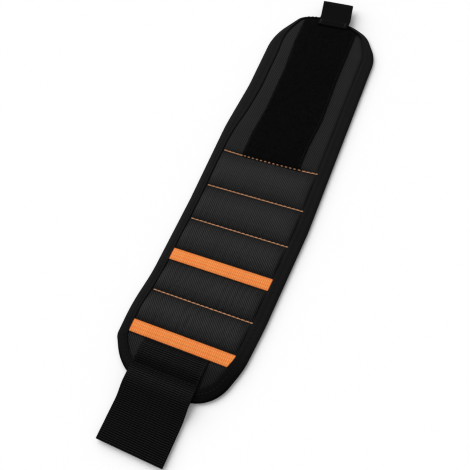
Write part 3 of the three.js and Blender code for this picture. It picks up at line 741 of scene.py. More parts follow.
def woven_finish(name, base, across, along, depth, gap=None, stripes=(), lint=0.15, fresh=1.0, **plain):
    """Woven cloth: threads with dark gaps, a tone of their own, uneven dye and a little lint. Each of the
    stripes has its count to the metre both ways, and how much of the gap colour its furrows take, where more
    than 1 makes them wider. The dark of the gaps and furrows is partly the weave's own look and partly
    painted shade. A piece with painted shading values on its points keeps its tone where they are 1, and is
    painted darker as shade, down to the given share of that tone, where they are 0."""
    f = Finish(name, **plain)
    base = tuple(base)
    gap = shade(base, 0.3) if gap is None else tuple(gap)
    weave = f.effect("Plain weave", Cloth=f.cloth, Across=across, Along=along)
    fibre = f.effect("Fibre and lint", Cloth=f.cloth)
    tone = f.tint(shade(base, 0.84), shade(base, 1.16), weave["Tone"])
    tone = f.tint(tone, shade(base, 1.3), f.math("MULTIPLY", fibre["Mottle"], 0.3))
    # Dark gaps between the threads: partly the weave's own look, partly painted shade.
    tone = f.tint(tone, gap, f.math("MULTIPLY", weave["Gap"], 0.5))
    height = f.math("MULTIPLY_ADD", fibre["Fuzz"], 0.25, f.math("MULTIPLY", weave["Height"], 0.6))
    # Darker furrows of the stripes: partly the weave's own look, partly painted shade.
    for count_across, count_along, dark in stripes:
        wave = f.effect("Stripes", Cloth=f.cloth, Across=count_across, Along=count_along)["Wave"]
        tone = f.tint(tone, gap, f.math("MULTIPLY", f.math("SUBTRACT", 1.0, wave), dark))
        height = f.math("ADD", height, wave)
    # Painted shade: the tone is darkened where the piece's painted shading values are below 1.
    if fresh < 1:
        painted_shading = f.add("ShaderNodeAttribute", attribute_name="painted_shading").outputs["Fac"]
        tone = f.tint(tone, (fresh, fresh, fresh), f.math("SUBTRACT", 1.0, painted_shading), "MULTIPLY")
    lit = tuple(0.5 * part + 0.12 for part in base)
    f.set("Base Color", f.tint(tone, lit, f.math("MULTIPLY", fibre["Lint"], lint)))
    f.roughen(fibre["Fuzz"], 0.14, plain["Roughness"] - 0.07)
    f.bump(height, depth)
    return f.material


def thread_finish(name, base, **plain):
    """Twisted sewing thread: slanted plies across the tube, from a sine of the two cloth places."""
    f = Finish(name, **plain)
    base = tuple(base)
    split = f.add("ShaderNodeSeparateXYZ", {0: f.cloth}).outputs
    slant = f.math("ADD", f.math("MULTIPLY", split[0], 4200.0), f.math("MULTIPLY", split[1], 5200.0))
    ply = f.math("MULTIPLY_ADD", f.math("SINE", slant), 0.5, 0.5)
    fibre = f.effect("Fibre and lint", Cloth=f.cloth)
    tone = f.tint(shade(base, 0.62), base, ply)
    f.set("Base Color", f.tint(tone, shade(base, 1.2), f.math("MULTIPLY", fibre["Fuzz"], 0.4)))
    f.roughen(fibre["Fuzz"], 0.2, plain["Roughness"] - 0.1)
    f.bump(ply, 0.05 * MM)
    return f.material


def mesh_finish(name, base, step, **plain):
    """Air mesh lining: rows of holes in a soft cloth."""
    f = Finish(name, **plain)
    base = tuple(base)
    holes = f.effect("Mesh holes", Cloth=f.cloth, Step=step)
    fibre = f.effect("Fibre and lint", Cloth=f.cloth)
    tone = f.tint(shade(base, 0.85), shade(base, 1.3), fibre["Mottle"])
    tone = f.tint(tone, shade(base, 0.2), f.math("MULTIPLY", holes["Hole"], 0.9))
    f.set("Base Color", f.tint(tone, (0.11, 0.11, 0.11), f.math("MULTIPLY", fibre["Lint"], 0.12)))
    f.roughen(fibre["Fuzz"], 0.15, plain["Roughness"] - 0.08)
    f.bump(f.math("MULTIPLY_ADD", fibre["Fuzz"], 0.15, holes["Height"]), 0.35 * MM)
    return f.material


def yarn_finish(name, base, **plain):
    """Fine loose filaments, such as pile: tone and roughness vary from loop to loop and along each loop."""
    f = Finish(name, **plain)
    base = tuple(base)
    place = f.add("ShaderNodeTexCoord").outputs["Object"]
    tone = f.ramp(f.noise(place, 300.0, 3.0), 0.38, 0.62)
    f.set("Base Color", f.tint(shade(base, 0.3), shade(base, 2.0), tone))
    f.roughen(tone, 0.2, plain["Roughness"] - 0.1)
    return f.material


def nickel_finish(name, base):
    """Plated metal with fine turning marks and worn patches."""
    f = Finish(name, Metallic=1.0, Roughness=0.3)
    base = tuple(base)
    place = f.add("ShaderNodeTexCoord").outputs["Object"]
    marks, patch = f.noise(place, 900.0, 3.0), f.noise(place, 120.0, 2.0)
    f.set("Base Color", f.tint(shade(base, 0.8), base, f.ramp(patch, 0.35, 0.65)))
    f.set("Roughness", f.ramp(marks, 0.3, 0.7, 0.24, 0.40))
    f.bump(marks, 0.01 * MM)
    return f.material


# The band's own finishes.

CLOTH = {"Specular_IOR_Level": 0.02}
TAB_RIB = 1.1 * MM
TAPE_CORD = 2.5 * MM  # distance between the lengthwise cords of the tapes


def finish(name, make, *values, **plain):
    """The material of that name, made on first use."""
    return bpy.data.materials.get(name) or make(name, *values, **plain)


def cover_finish(sizes, colours):
    """Dark grey twill with slanted lines whose dark furrows are partly painted shade, and with painted shade
    in the valleys between the pockets.
    """
    twill = [(0.70 / sizes.twill, 0.72 / sizes.twill, 0.95)]
    thread, gap = 0.47 * MM, shade(colours.cover, 0.2)
    return finish(
        "cover_twill", woven_finish, colours.cover, thread, thread, 0.12 * MM, gap, twill,
        fresh=0.46, Roughness=0.85, **CLOTH)


def binding_finish(colours):
    """Black close weave, with painted shade round the lower end."""
    return finish(
        "binding_weave", woven_finish, colours.binding, 0.55 * MM, 0.8 * MM, 0.10 * MM,
        fresh=0.35, Roughness=0.8, **CLOTH)


def webbing_finish(sizes, colours):
    """Black webbing: narrow crosswise ribs with wide furrows painted near black as shade, faint lengthwise
    cords, and painted light and shade along the strap.
    """
    ribs = [(0.0, 1 / sizes.webbing_rib, 1.6), (1 / sizes.webbing_cord, 0.0, 0.15)]
    # The furrows between the ribs are painted near black: painted shade.
    gap = shade(colours.webbing, 0.02)
    return finish(
        "strap_weave", woven_finish, colours.webbing, 0.9 * MM, 0.68 * MM, 0.16 * MM, gap, ribs,
        fresh=0.3, Roughness=0.7, **CLOTH)


def tab_finish(colours):
    """Black narrow webbing with fine crosswise ribs."""
    return finish(
        "tab_weave", woven_finish, colours.tab, 0.7 * MM, 0.55 * MM, 0.10 * MM,
        stripes=[(0.0, 1 / TAB_RIB, 0.4)], Roughness=0.75, **CLOTH)


def tape_finish(sizes, colours):
    """Orange tape: crosswise ribs with deep orange furrows, and lengthwise cords."""
    ribs = [(0.0, 1 / sizes.tape_rib, 0.75), (1 / TAPE_CORD, 0.0, 0.35)]
    return finish(
        "tape_weave", woven_finish, colours.tape, 0.62 * MM, 0.69 * MM, 0.10 * MM, colours.tape_gap, ribs,
        lint=0.0, Roughness=0.65, **CLOTH)


def backing_finish(colours):
    """Black backing of the loop and hook patches."""
    thread = 0.6 * MM
    return finish(
        "backing_weave", woven_finish, colours.pile, thread, thread, 0.10 * MM,
        lint=0.05, Roughness=0.9, **CLOTH)


def lining_finish(colours):
    """Black air mesh."""
    return finish("lining_mesh", mesh_finish, colours.lining, 1.9 * MM, Roughness=0.85, **CLOTH)


def pile_finish(colours):
    """Soft yarns of the loop patch."""
    return finish("pile_yarn", yarn_finish, colours.pile, Roughness=0.8, **CLOTH)


def hook_finish(colours):
    """Stiff filaments of the hook patch."""
    return finish("hook_yarn", yarn_finish, colours.hooks, Roughness=0.5, **CLOTH)


def orange_thread(colours):
    """Orange thread of the four seams."""
    return finish(
        "orange_sewing_thread", thread_finish, colours.thread, Roughness=0.6, Specular_IOR_Level=0.2)


def black_thread(colours):
    """Black thread of the other seams."""
    return finish(
        "black_sewing_thread", thread_finish, colours.black_thread, Roughness=0.55, Specular_IOR_Level=0.1)


# Front cover: one cloth, puffed up by a cloth simulation over its sewing lines, cut across each pocket.

COVER_INSET = 1.7 * MM  # from the band's edge to the cover's, inside the binding
COVER_STEP = 2.2 * MM
COVER_COLUMNS = 41
COVER_REFINE = 3
VALLEY = 0.5 * MM  # flat strip beside the binding
EDGE_DROP = 1.3 * MM  # how far the edge droops
HEM_WIDTH = 6 * MM  # over which the cover droops with it
HEM_SHARE = 0.7  # of that droop
PILLOW_SIDE = 5 * MM  # width of a pocket's shoulder beside the binding
PILLOW_TOP = 10.5 * MM  # and under the sewing line above it
PILLOW_FOOT = 7 * MM  # and over the sewing line below it
PANEL_SIDE = 4 * MM  # width of the flap's shoulder
END_SIDE = 14 * MM  # and of the lower end's
PANEL_END = 6 * MM  # width of their shoulders at the sewing lines
SEW_HALF = 0.9 * MM  # half the flat strip along a sewing line
TAPE_MARGIN = 0.5 * MM  # flat strip beside a tape
PULL_DEPTH = 0.22 * MM  # how far each stitch draws the cloth down
PULL_REACH = 0.8 * MM
SHADE_DOWN, SHADE_ACROSS = 10 * MM, 20 * MM  # over which the lower end's right darkens

# Cloth simulation, at a larger scale than the band's, on which its steps are steady.
SIM_SCALE = 20.0
SIM_FRAMES = 20
SIM_CAP = 2.0 * MM  # how far a point may move
SIM_START = 0.9  # share of the pockets' height to start from
SIM_CROWN = 97  # percentile of the heights in a pocket that counts as its crown
SIM_SETTINGS = {
    "vertex_group_mass": "held",
    "quality": 7,
    "mass": 0.02,
    "tension_stiffness": 12,
    "compression_stiffness": 12,
    "shear_stiffness": 4,
    "bending_stiffness": 0.4,
    "air_damping": 4,
    "use_pressure": True,
    "uniform_pressure_force": 5,
    "shrink_min": -0.006,
}

# Width of the binding: where it changes, and by how many millimetres.
BOUND_ACROSS = 50 * MM
BOUND_FLAP = 50 * MM
BOUND_TIP = 42 * MM
BOUND_FLAP_LEFT = 3.3
BOUND_ROWS_LEFT = 1.1
BOUND_RIGHT = 0.3
BOUND_TIP_RIGHT = 5.2
BOUND_TIP_LEFT = 2.3


def bound(x, y, sizes):
    """What shows of the binding at a place. It was sewn on wider along the flap's left side and narrower
    along the left side of the rows, and it tapers towards the flap's upper end."""
    left = smooth(0.5 - x / BOUND_ACROSS)
    flap = smooth((y - FOLD_Y[0]) / BOUND_FLAP)
    tip = smooth((y - TOP_Y) / BOUND_TIP + 1)
    side = left * (BOUND_FLAP_LEFT * flap - BOUND_ROWS_LEFT) + BOUND_RIGHT * (1 - left)
    return sizes.binding_width + (side - tip * (BOUND_TIP_RIGHT + BOUND_TIP_LEFT * left)) * MM


def strap_press(x, y):
    """How far the row of stitches across the strap's root presses it and the padding down."""
    low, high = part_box("strap")
    inside = (high.x - low.x) / 2 + PRESS_MARGIN - np.abs(x - (high.x + low.x) / 2)
    return STRAP_DIP * smooth(inside / (2 * PRESS_MARGIN)) * hump(y - STRAP_GROOVE_Y, STRAP_DIP_REACH)


def lower_right_shade(x, y):
    """Painted shade on the cover: 1 at the right of the lower end, fading to 0 towards the rows and the left.
    """
    return smooth((END_TOP - y) / SHADE_DOWN) * smooth(x / SHADE_ACROSS)


def cover_height(x, y, depth, sizes):
    """Top of the padded cover: each pocket is a pillow, the product of rounded shoulders at its sides and
    slopes at its ends, and the flap and the lower end are flatter pads with rounded shoulders all round."""
    inside = depth - bound(x, y, sizes) - VALLEY
    side, flat = rise(inside, PILLOW_SIDE), rise(inside, np.where(y > FOLD_Y[0], PANEL_SIDE, END_SIDE))
    pillows = sum(
        slope(top - SEW_HALF - y, PILLOW_TOP) * slope(y - low - SEW_HALF, PILLOW_FOOT)
        for top, low in zip(POCKET_TOP, POCKET_LOW)
    )
    pads = rise(y - SEW_Y[0] - SEW_HALF, PANEL_END) + rise(END_TOP - SEW_HALF - y, PANEL_END)
    pad = (FLAP_Z - SEAM_TOP) * flat * pads
    hem = EDGE_DROP * smooth(1 - depth / HEM_WIDTH)
    stuffed = (CROWN_Z - SEAM_TOP) * side * pillows
    return SEAM_TOP - HEM_SHARE * hem + stuffed + np.maximum(pad - strap_press(x, y), 0)


def sheet_rows(step):
    """Heights of the rows of a sheet that fills the band, among them each sewing line, tape edge and cut."""
    low, high = BOTTOM_Y + COVER_INSET, TOP_Y - COVER_INSET
    edges = [edge for pair in TAPE_EDGES.values() for edge in pair]
    return even_steps(np.sort([low, low + MM, high - MM, high, *SEW_Y.values(), *edges, *CUT_Y]), step)


def sheet_grid(outline, rows, columns):
    """Places on those rows, in even columns from side to side of the drawn-in outline."""
    left, right = outline.sides(COVER_INSET, rows)
    x = left[:, None] + (right - left)[:, None] * np.linspace(0, 1, columns)
    return x, np.repeat(rows[:, None], columns, axis=1)


def sewn_down(x, y, depth, sizes):
    """True where the cover is held: off the pockets, beside the binding, at the seams and under the tapes."""
    held = (depth < bound(x, y, sizes) + VALLEY) | (y > SEW_Y[0] - SEW_HALF) | (y < END_TOP)
    for place in SEW_Y.values():
        held |= np.abs(y - place) < SEW_HALF
    for low, high in TAPE_EDGES.values():
        held |= (y > low - TAPE_MARGIN) & (y < high + TAPE_MARGIN)
    return held


def puff(points, held):
    """Lets a cloth held at its sewing lines puff up under a light pressure, with a little cloth to spare."""
    faces = cells(np.arange(held.size).reshape(*held.shape, 1))[..., 0]
    mesh = bpy.data.meshes.new("cover_trial")
    mesh.from_pydata((points.reshape(-1, 3) * SIM_SCALE).tolist(), [], faces.tolist())
    trial = bpy.data.objects.new("cover_trial", mesh)
    scene = bpy.context.scene
    scene.collection.objects.link(trial)
    trial.vertex_groups.new(name="held").add(np.flatnonzero(held).tolist(), 1.0, "REPLACE")
    cloth = trial.modifiers.new("Cloth", "CLOTH")
    for name, value in SIM_SETTINGS.items():
        setattr(cloth.settings, name, value)
    cloth.settings.effector_weights.gravity = 0
    cloth.collision_settings.use_collision = False
    for number in range(1, SIM_FRAMES + 1):
        scene.frame_set(number)
    moved = np.empty(points.size, np.float32)
    trial.evaluated_get(bpy.context.evaluated_depsgraph_get()).data.vertices.foreach_get("co", moved)
    bpy.data.objects.remove(trial)
    bpy.data.meshes.remove(mesh)
    scene.frame_set(1)
    return moved.reshape(points.shape).astype(float) / SIM_SCALE


def stuff(still, held, rows):
    """The cover puffed up from a little under its height. Its crowns are then set to their height, and no
    point moves further than the cap."""
    start = still.copy()
    start[..., 2] = SEAM_TOP + SIM_START * (still[..., 2] - SEAM_TOP)
    start[held, 2] = still[held, 2]
    moved = puff(start, held)
    for top, low in zip(POCKET_TOP, POCKET_LOW):
        pocket = (rows < top) & (rows > low)
        crown = np.percentile(moved[pocket, :, 2], SIM_CROWN) - SEAM_TOP
        moved[pocket, :, 2] = SEAM_TOP + (moved[pocket, :, 2] - SEAM_TOP) * (CROWN_Z - SEAM_TOP) / crown
    return still + np.clip(moved - still, -SIM_CAP, SIM_CAP)


def cover_grid(sizes, outline):
    """The cover's upper face on a fine grid of rows up the band, its cloth places, and the rows of the cuts.
    The coarse cloth is stuffed, how far it moved is refined, and each stitch draws it down a little."""
    rows = sheet_rows(COVER_STEP)
    x, y = sheet_grid(outline, rows, COVER_COLUMNS)
    depth = outline.depth(x, y)
    still = np.stack([x, y, cover_height(x, y, depth, sizes)], axis=-1)
    moved = stuff(still, sewn_down(x, y, depth, sizes), rows)
    shift = refine(refine(moved - still, COVER_REFINE).swapaxes(0, 1), COVER_REFINE).swapaxes(0, 1)
    fine = np.interp(np.arange(len(shift)) / COVER_REFINE, np.arange(len(rows)), rows)
    x, y = sheet_grid(outline, fine, shift.shape[1])
    top = np.stack([x, y, cover_height(x, y, outline.depth(x, y), sizes)], axis=-1) + shift
    for place in SEW_Y.values():
        pull = hump(y - place, PULL_REACH) * (1 + ripple(x, sizes.seam_stitch)) / 2
        top[..., 2] -= PULL_DEPTH * pull
    return top, np.stack([x, y], axis=-1), [COVER_REFINE * nearest(rows, cut) for cut in CUT_Y]


def cut_rows(cuts, count):
    """Rows of each stretch from the flap down, as slices of rows that rise up the band."""
    marks = [count - 1, *cuts, 0]
    return [slice(low, high + 1) for high, low in zip(marks[:-1], marks[1:])]


def make_cover(sizes, colours):
    """Front cover: the puffed cloth over a flat underside, in six stretches, one over each fold line."""
    top, cloth, cuts = cover_grid(sizes, Outline(sizes))
    under = np.concatenate([cloth, np.full((*cloth.shape[:2], 1), COVER_LOW)], axis=-1)
    rings, places = both_faces(top, under), both_faces(cloth, cloth)
    normals = ring_normals(rings)
    x, y, z = np.moveaxis(rings, -1, 0)
    # Painted shade: the lower the cloth lies in the valleys between the pockets, the darker it is painted,
    # and more so at the lower end's right.
    painted_shading = np.clip((z - SEAM_TOP) / (CROWN_Z - SEAM_TOP), 0, 1) * (1 - lower_right_shade(x, y))
    for fold, rows in enumerate(cut_rows(cuts, len(rings))):
        form = Form()
        form.rings(rings[rows], normals[rows], places[rows])
        made = form.piece(stretch_name("cover", fold), cover_finish(sizes, colours), painted_shading=painted_shading[rows])
        bend(made, fold, *solids_of(fold, "cover", "padding", "foam"))


# Lining on the back.

LINING_STEP = 1.4 * MM
LINING_COLUMNS = 65
LINING_BULGE = 0.55 * MM  # how far it swells towards the wrist
LINING_CAP = 0.9 * MM
LINING_RIPPLE = 0.04 * MM


def make_lining(sizes, colours):
    """Back lining: a flat sheet whose outer face swells a little towards the wrist between the sewing lines,
    as the root of the cover's height, with a calm ripple."""
    outline = Outline(sizes)
    rows = sheet_rows(LINING_STEP)
    x, y = sheet_grid(outline, rows, LINING_COLUMNS)
    swell = (cover_height(x, y, outline.depth(x, y), sizes) - SEAM_TOP) / (CROWN_Z - SEAM_TOP)
    uneven = LINING_RIPPLE * waves(x + 0.6 * y, 11, 30 * MM, 9 * MM) * (swell > 0)
    back = LINING_LOW - np.clip(LINING_BULGE * np.sqrt(np.clip(swell, 0, 1)) + uneven, 0, LINING_CAP)
    cloth = np.stack([x, y], axis=-1)
    top, under = (np.stack([x, y, z], axis=-1) for z in (np.full_like(x, LINING_TOP), back))
    rings, places = both_faces(top, under), both_faces(cloth, cloth)
    normals = ring_normals(rings)
    cuts = [nearest(rows, cut) for cut in CUT_Y]
    for fold, part in enumerate(cut_rows(cuts, len(rows))):
        form = Form()
        form.rings(rings[part], normals[part], places[part])
        made = form.piece(stretch_name("lining", fold), lining_finish(colours))
        bend(made, fold, *solids_of(fold, "lining"))


# Edge binding.

BINDING_STEP = 0.9 * MM
FLAT_POINTS = 15  # across each flat side of the folded section
NOSE_POINTS = 9  # round its fold
LIP_PLACES = (0.0, 0.12 * MM)  # its rounded inner edge: distances in from that edge
LIP_DROPS = (0.3 * MM, 0.08 * MM)  # and how far the face is below its level there
LIP_WIDTH = 0.35 * MM
NOSE_THICK = 1.2 * MM  # of the binding where it is folded
NOSE_FILL = 0.3 * MM
GROOVE_FROM_EDGE = 3.2 * MM  # from the binding's inner edge to its sewing groove
GROOVE_REACH = 0.55 * MM
GROOVE_DEPTH, GROOVE_DIP = 0.26, 0.08  # millimetres, and how much more at each stitch
CROWN_RISE = 0.16 * MM
PUCKER_LENGTH = 2.9 * MM
PUCKER_RISE = 0.10 * MM
PUCKER_RADIUS = 30 * MM  # of a corner that puckers fully
PUCKER_BLUR = 8  # stations on each side over which that eases
WANDER = 0.05 * MM
END_DROOP = 0.8  # how much more the edge droops round the lower end
END_DROOP_EASE = 20 * MM
DROOP_POWER = 1.5  # more keeps the droop nearer to the edge
CLIMB = 1.1 * MM  # over the end of the loop patch
CLIMB_SLOPE = 4 * MM


def binding_climb(x, y):
    """How far the binding climbs over the end of the loop patch that it holds down."""
    beside = LOOP_WIDTH / 2 + CLIMB_SLOPE - np.abs(x - loop_middle(y))
    return CLIMB * smooth(beside / CLIMB_SLOPE) * (y > FOLD_Y[0])


def binding_section(sizes):
    """The binding folded over the edge, as distances in from the edge and heights: the outer face from the
    front's inner edge round the nose to the back's, then the inner face back again."""
    wide, nose = sizes.binding_width, BINDING_TOP / 2
    half = nose - sizes.binding_thick
    turn = np.linspace(0, np.pi, NOSE_POINTS)[1:-1]
    lip = wide - np.array(LIP_PLACES)
    outer, inner = (
        np.concatenate([lip, np.linspace(wide - LIP_WIDTH, end, FLAT_POINTS)])
        for end in (nose, nose + NOSE_FILL)
    )
    drop = np.concatenate([LIP_DROPS, np.zeros(FLAT_POINTS)])
    outer_in = np.concatenate([outer, nose - nose * np.sin(turn), outer[::-1]])
    outer_z = np.concatenate([BINDING_TOP - drop, nose + nose * np.cos(turn), drop[::-1]])
    web = nose - NOSE_THICK + NOSE_FILL
    inner_in = np.concatenate([inner, nose + NOSE_FILL - (web + NOSE_FILL) * np.sin(turn), inner[::-1]])
    level = np.ones(len(inner))
    inner_z = nose + half * np.concatenate([level, np.cos(turn), -level])
    return np.concatenate([outer_in, inner_in[::-1]]), np.concatenate([outer_z, inner_z[::-1]])


def binding_rings(sizes, outline, stations):
    """The folded section carried round the outline. Its front has a low crown, a sewing groove that dips at
    each stitch, and puckers on the corners, fading towards the edge, which droops most round the lower end.
    Gives rings, cloth places and the unfolded width."""
    places, out = outline.at(stations)
    inset, height = binding_section(sizes)
    wide, nose = sizes.binding_width, BINDING_TOP / 2
    s, share = stations[:, None], inset / wide
    turning = np.linalg.norm(np.gradient(out, axis=0), axis=-1) / np.gradient(stations)
    even = np.ones(2 * PUCKER_BLUR + 1) / (2 * PUCKER_BLUR + 1)
    curved = np.convolve(np.pad(turning * PUCKER_RADIUS, PUCKER_BLUR, mode="wrap"), even, mode="valid")
    outer = np.arange(len(inset)) < len(inset) // 2
    front, back = outer & (height > BINDING_TOP * 0.75), outer & (height < BINDING_TOP * 0.25)
    groove = hump(inset - wide + GROOVE_FROM_EDGE, GROOVE_REACH)
    dip = groove * (GROOVE_DEPTH + GROOVE_DIP * ripple(s, sizes.binding_stitch)) * MM
    crown = CROWN_RISE * np.sin(np.pi * np.clip(share, 0, 1))
    creases = share**2 * np.sin(2 * np.pi * s / PUCKER_LENGTH)
    pucker = PUCKER_RISE * np.clip(curved, 0, 1)[:, None] * creases
    wander = WANDER * waves(stations, 5, 40 * MM, 12 * MM)[:, None] * share
    lift = front * (crown - dip + pucker + wander) + back * (0.5 * dip)
    droop = EDGE_DROP * (1 + END_DROOP * smooth((END_TOP - places[:, 1:]) / END_DROOP_EASE))
    lift = lift - droop * smooth((height / nose - 1) / 0.6) * np.clip(1 - share, 0, 1) ** DROOP_POWER
    extra = bound(*places.T, sizes)[:, None] - wide
    spread = np.clip((inset - nose) / (wide - nose), 0, 1)
    drawn = places[:, None] - (inset + extra * spread)[..., None] * out[:, None]
    upper_layer = smooth((height / nose - 1) / 0.4) * smooth(inset / (3 * MM))
    lift = lift + upper_layer * binding_climb(drawn[..., 0], drawn[..., 1])
    girth = reach_along(close(np.stack([inset, height], axis=-1)))
    cloth = np.stack(np.broadcast_arrays(girth[None], s), axis=-1)
    return np.concatenate([drawn, (height + lift)[..., None]], axis=-1), cloth, girth[len(inset) // 2]


def sew_binding(form, sizes, outline, start, end):
    """Stitches along the sewing groove of the front, and their other side on the back."""
    wide, nose = sizes.binding_width, BINDING_TOP / 2
    ends = []
    for distance in (start, end):
        place, direction = outline.at(distance)
        seam = nose + (bound(*place.T, sizes) - nose) * (1 - GROOVE_FROM_EDGE / (wide - nose))
        ends.append(place - seam[:, None] * direction)
    for z, way in ((BINDING_TOP - 0.08 * MM, 1.0), (0.2 * MM, -1.0)):
        starts, stops = (np.column_stack([place, z + binding_climb(*place.T) * (way > 0)]) for place in ends)
        sew(form, starts, stops, way * UP, BLACK_RADIUS, 1, lift=0.5)


def binding_painted_shade(x, y):
    """Painted shade on the binding, as the share of its tone that is kept: it darkens from the last row down
    to the lower end, most at the right.
    """
    low = smooth((END_TOP + 25 * MM - y) / (35 * MM))
    return 1 - low * (0.65 + 0.3 * smooth(x / (30 * MM)))


def make_binding(sizes, colours):
    """Edge binding: the folded cloth round the whole edge, in stretches, one over each fold line.
    All but the flap's have two runs, one on each side, and those of the lower end join at its bottom."""
    outline = Outline(sizes)
    total = outline.reach[-1]
    right, left = outline.crossings(CUT_Y)
    marks = np.concatenate([[0], right[::-1], left, [total]])
    stations = even_steps(marks, BINDING_STEP)
    rings, cloth, wide = binding_rings(sizes, outline, stations)
    normals = ring_normals(rings, closed=True)
    # Painted shade: the binding is darker round the lower end, most at the right.
    painted_shading = np.repeat(binding_painted_shade(*outline.at(stations)[0].T)[:, None], rings.shape[1], axis=1)
    at = [nearest(stations, mark) for mark in marks]
    start, end = dashes(0, total, sizes.binding_stitch)
    run_of = np.searchsorted(marks, (start + end) / 2) - 1
    for fold in range(len(FOLDS)):
        own = sorted({LAST_FOLD - fold, LAST_FOLD + fold})
        runs = [np.arange(at[run], at[run + 1] + 1) for run in own]
        places = [cloth[run] for run in runs]
        if fold == LAST_FOLD:
            runs = [np.concatenate([runs[1], runs[0][1:]])]
            places = [np.concatenate([places[1], places[0][1:] + [0, total]])]
        form = Form()
        for run, place in zip(runs, places):
            form.rings(rings[run], normals[run], place)
        mine = np.isin(run_of, own)
        sew_binding(form, sizes, outline, start[mine], end[mine])
        shading_values = np.concatenate([painted_shading[run] for run in runs])
        made = form.piece(
            stretch_name("binding", fold), binding_finish(colours), black_thread(colours), painted_shading=shading_values)
        bend(made, fold, *solids_of(fold, "binding"))


# Seam threads and tapes.

SEAM_SAG = 0.85 * MM
SEAM_SHARE = 0.97  # of a stitch in its pitch
SEAM_LIFT = 0.25 * MM  # of the thread above the cover
SEAM_SINK = 0.05 * MM  # and below the lining
LOOP_LIFT = 0.35 * MM  # how much higher the thread lies on the loop patch
LOOP_STITCH = 0.62  # share of a stitch that shows there
LOOP_THREAD = 0.75  # share of the thread's radius that shows there


def seam_line(fold, x):
    """Height of a seam across the band; the first one sags where it crosses the loop patch."""
    return SEW_Y[fold] + SEAM_SAG * (2 * (x / BAND_HALF) ** 2 - 0.6) * (fold == 0)


def make_seams(sizes, colours):
    """Orange seams: a row of stitches across the front at each sewing line, and its other side on the back.
    Where the first seam crosses the loop patch its thread sinks into the pile between the stitches."""
    radius = sizes.thread_radius
    for fold, node in SEAMS.items():
        low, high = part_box(node)
        start, end = dashes(low.x, high.x, sizes.seam_stitch, SEAM_SHARE)
        form = Form()
        for z, way in ((SEAM_TOP + SEAM_LIFT, 1.0), (LINING_LOW - SEAM_SINK, -1.0)):
            over = np.abs((start + end) / 2 - loop_middle(SEW_Y[0])) < LOOP_WIDTH / 2 + MM
            over &= (fold == 0) & (way > 0)
            stop = np.where(over, start + LOOP_STITCH * (end - start), end)
            starts, ends = (
                np.column_stack([x, seam_line(fold, x), z + LOOP_LIFT * over]) for x in (start, stop)
            )
            for part, thick in ((~over, radius), (over, LOOP_THREAD * radius)):
                if part.any():
                    sew(form, starts[part], ends[part], way * UP, thick, 0)
        made = form.piece(f"{node}_stitches", orange_thread(colours))
        bend(made, fold, node)


TAPE_STEP = 0.3 * MM
TAPE_COLUMNS = 25
TAPE_ENDS = (7.5 * MM, 8.3 * MM)  # from the band's edge to the tapes' left and right ends
TAPE_SLANT = {3: 0.3 * MM, 5: 1.3 * MM}  # of the right end's cut
TAPE_SEAM = 1.0 * MM  # from a tape's side to its stitches
TAPE_THREAD = 0.17 * MM
TAPE_LEVEL, TAPE_THICK = 0.42, 0.8  # of the solid's thickness: the tape's middle, and its own thickness
TAPE_RIB_RISE = 0.035 * MM
TAPE_SWELL = 0.10 * MM


def make_tapes(sizes, colours):
    """Orange tapes: a woven band laid across the front from binding to binding, with fine ribs, raised side
    threads and a row of stitches near each long side that draws the tape in."""
    outline = Outline(sizes)
    for fold, node in TAPES.items():
        low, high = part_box(node)
        half, middle = (high.y - low.y) / 2, (high.y + low.y) / 2 + SHIFT[fold]
        base = low.z + (high.z - low.z) * TAPE_LEVEL
        offset, lift = flat_section(half, TAPE_THICK * (high.z - low.z), TAPE_COLUMNS)
        left = outline.sides(TAPE_ENDS[0], middle + offset)[0]
        slant = TAPE_SLANT[fold] * (0.5 - offset / (2 * half))
        right = outline.sides(TAPE_ENDS[1], middle + offset)[1] - slant
        share = np.linspace(0, 1, math.ceil((high.x - low.x) / TAPE_STEP))
        x = left + (right - left) * share[:, None]
        from_side = half - np.abs(offset)
        ribs = TAPE_RIB_RISE * ripple(x, sizes.tape_rib) * smooth(from_side / (0.6 * MM))
        groove = hump(from_side - TAPE_SEAM, 0.4 * MM)
        dips = groove * (0.14 + 0.05 * ripple(x, sizes.tape_stitch)) * MM
        swell = TAPE_SWELL * smooth(from_side / half)
        y = np.broadcast_to(middle + offset, x.shape)
        top = np.stack([x, y, base + lift + ribs - dips + swell], axis=-1)
        under = np.stack([x, y, np.broadcast_to(base - lift, x.shape)], axis=-1)
        rings, cloth = both_faces(top, under), np.stack([y - middle, x], axis=-1)
        form = Form()
        form.rings(rings, ring_normals(rings), both_faces(cloth, cloth))
        start, end = dashes(left.max() + 0.8 * MM, right.min() - 0.8 * MM, sizes.tape_stitch)
        top_z = base + 0.4 * (high.z - low.z) - 0.06 * MM
        for side in (-1, 1):
            sew_across(form, start, end, middle + side * (half - TAPE_SEAM), top_z, TAPE_THREAD, 0)
        made = form.piece(f"{node}_woven", tape_finish(sizes, colours))
        bend(made, fold, node)


# Loop patch.

LOOP_WIDTH = 45 * MM
LOOP_STEP = 0.8 * MM
LOOP_COLUMNS = 49
LOOP_SLOPE = 6 * MM  # over which the pile is pressed flat beside the seam and the binding
LOOP_TUCK = 2.0 * MM  # from the band's edge to the patch's end under the binding
LOOP_END_Z = 3.4 * MM  # underside of the patch where the binding holds it down
LOOP_CLEAR = 0.12 * MM  # above the cover
LOOP_FOOT = 1.1 * MM  # how far the patch reaches past the first seam
LOOP_SEAM = 1.3 * MM  # from the patch's sides to their stitches

# Where the patch's two sides waver, and how far they stand out there.
LOOP_WAVER_Y = np.array([36, 54, 78, 118, 150, 172]) * MM
LOOP_WAVER_LEFT = np.array([2.4, 2.2, 0.1, 0.0, 2.2, 1.6]) * MM
LOOP_WAVER_RIGHT = np.array([-0.8, -0.8, 1.0, -0.5, -0.6, -0.8]) * MM

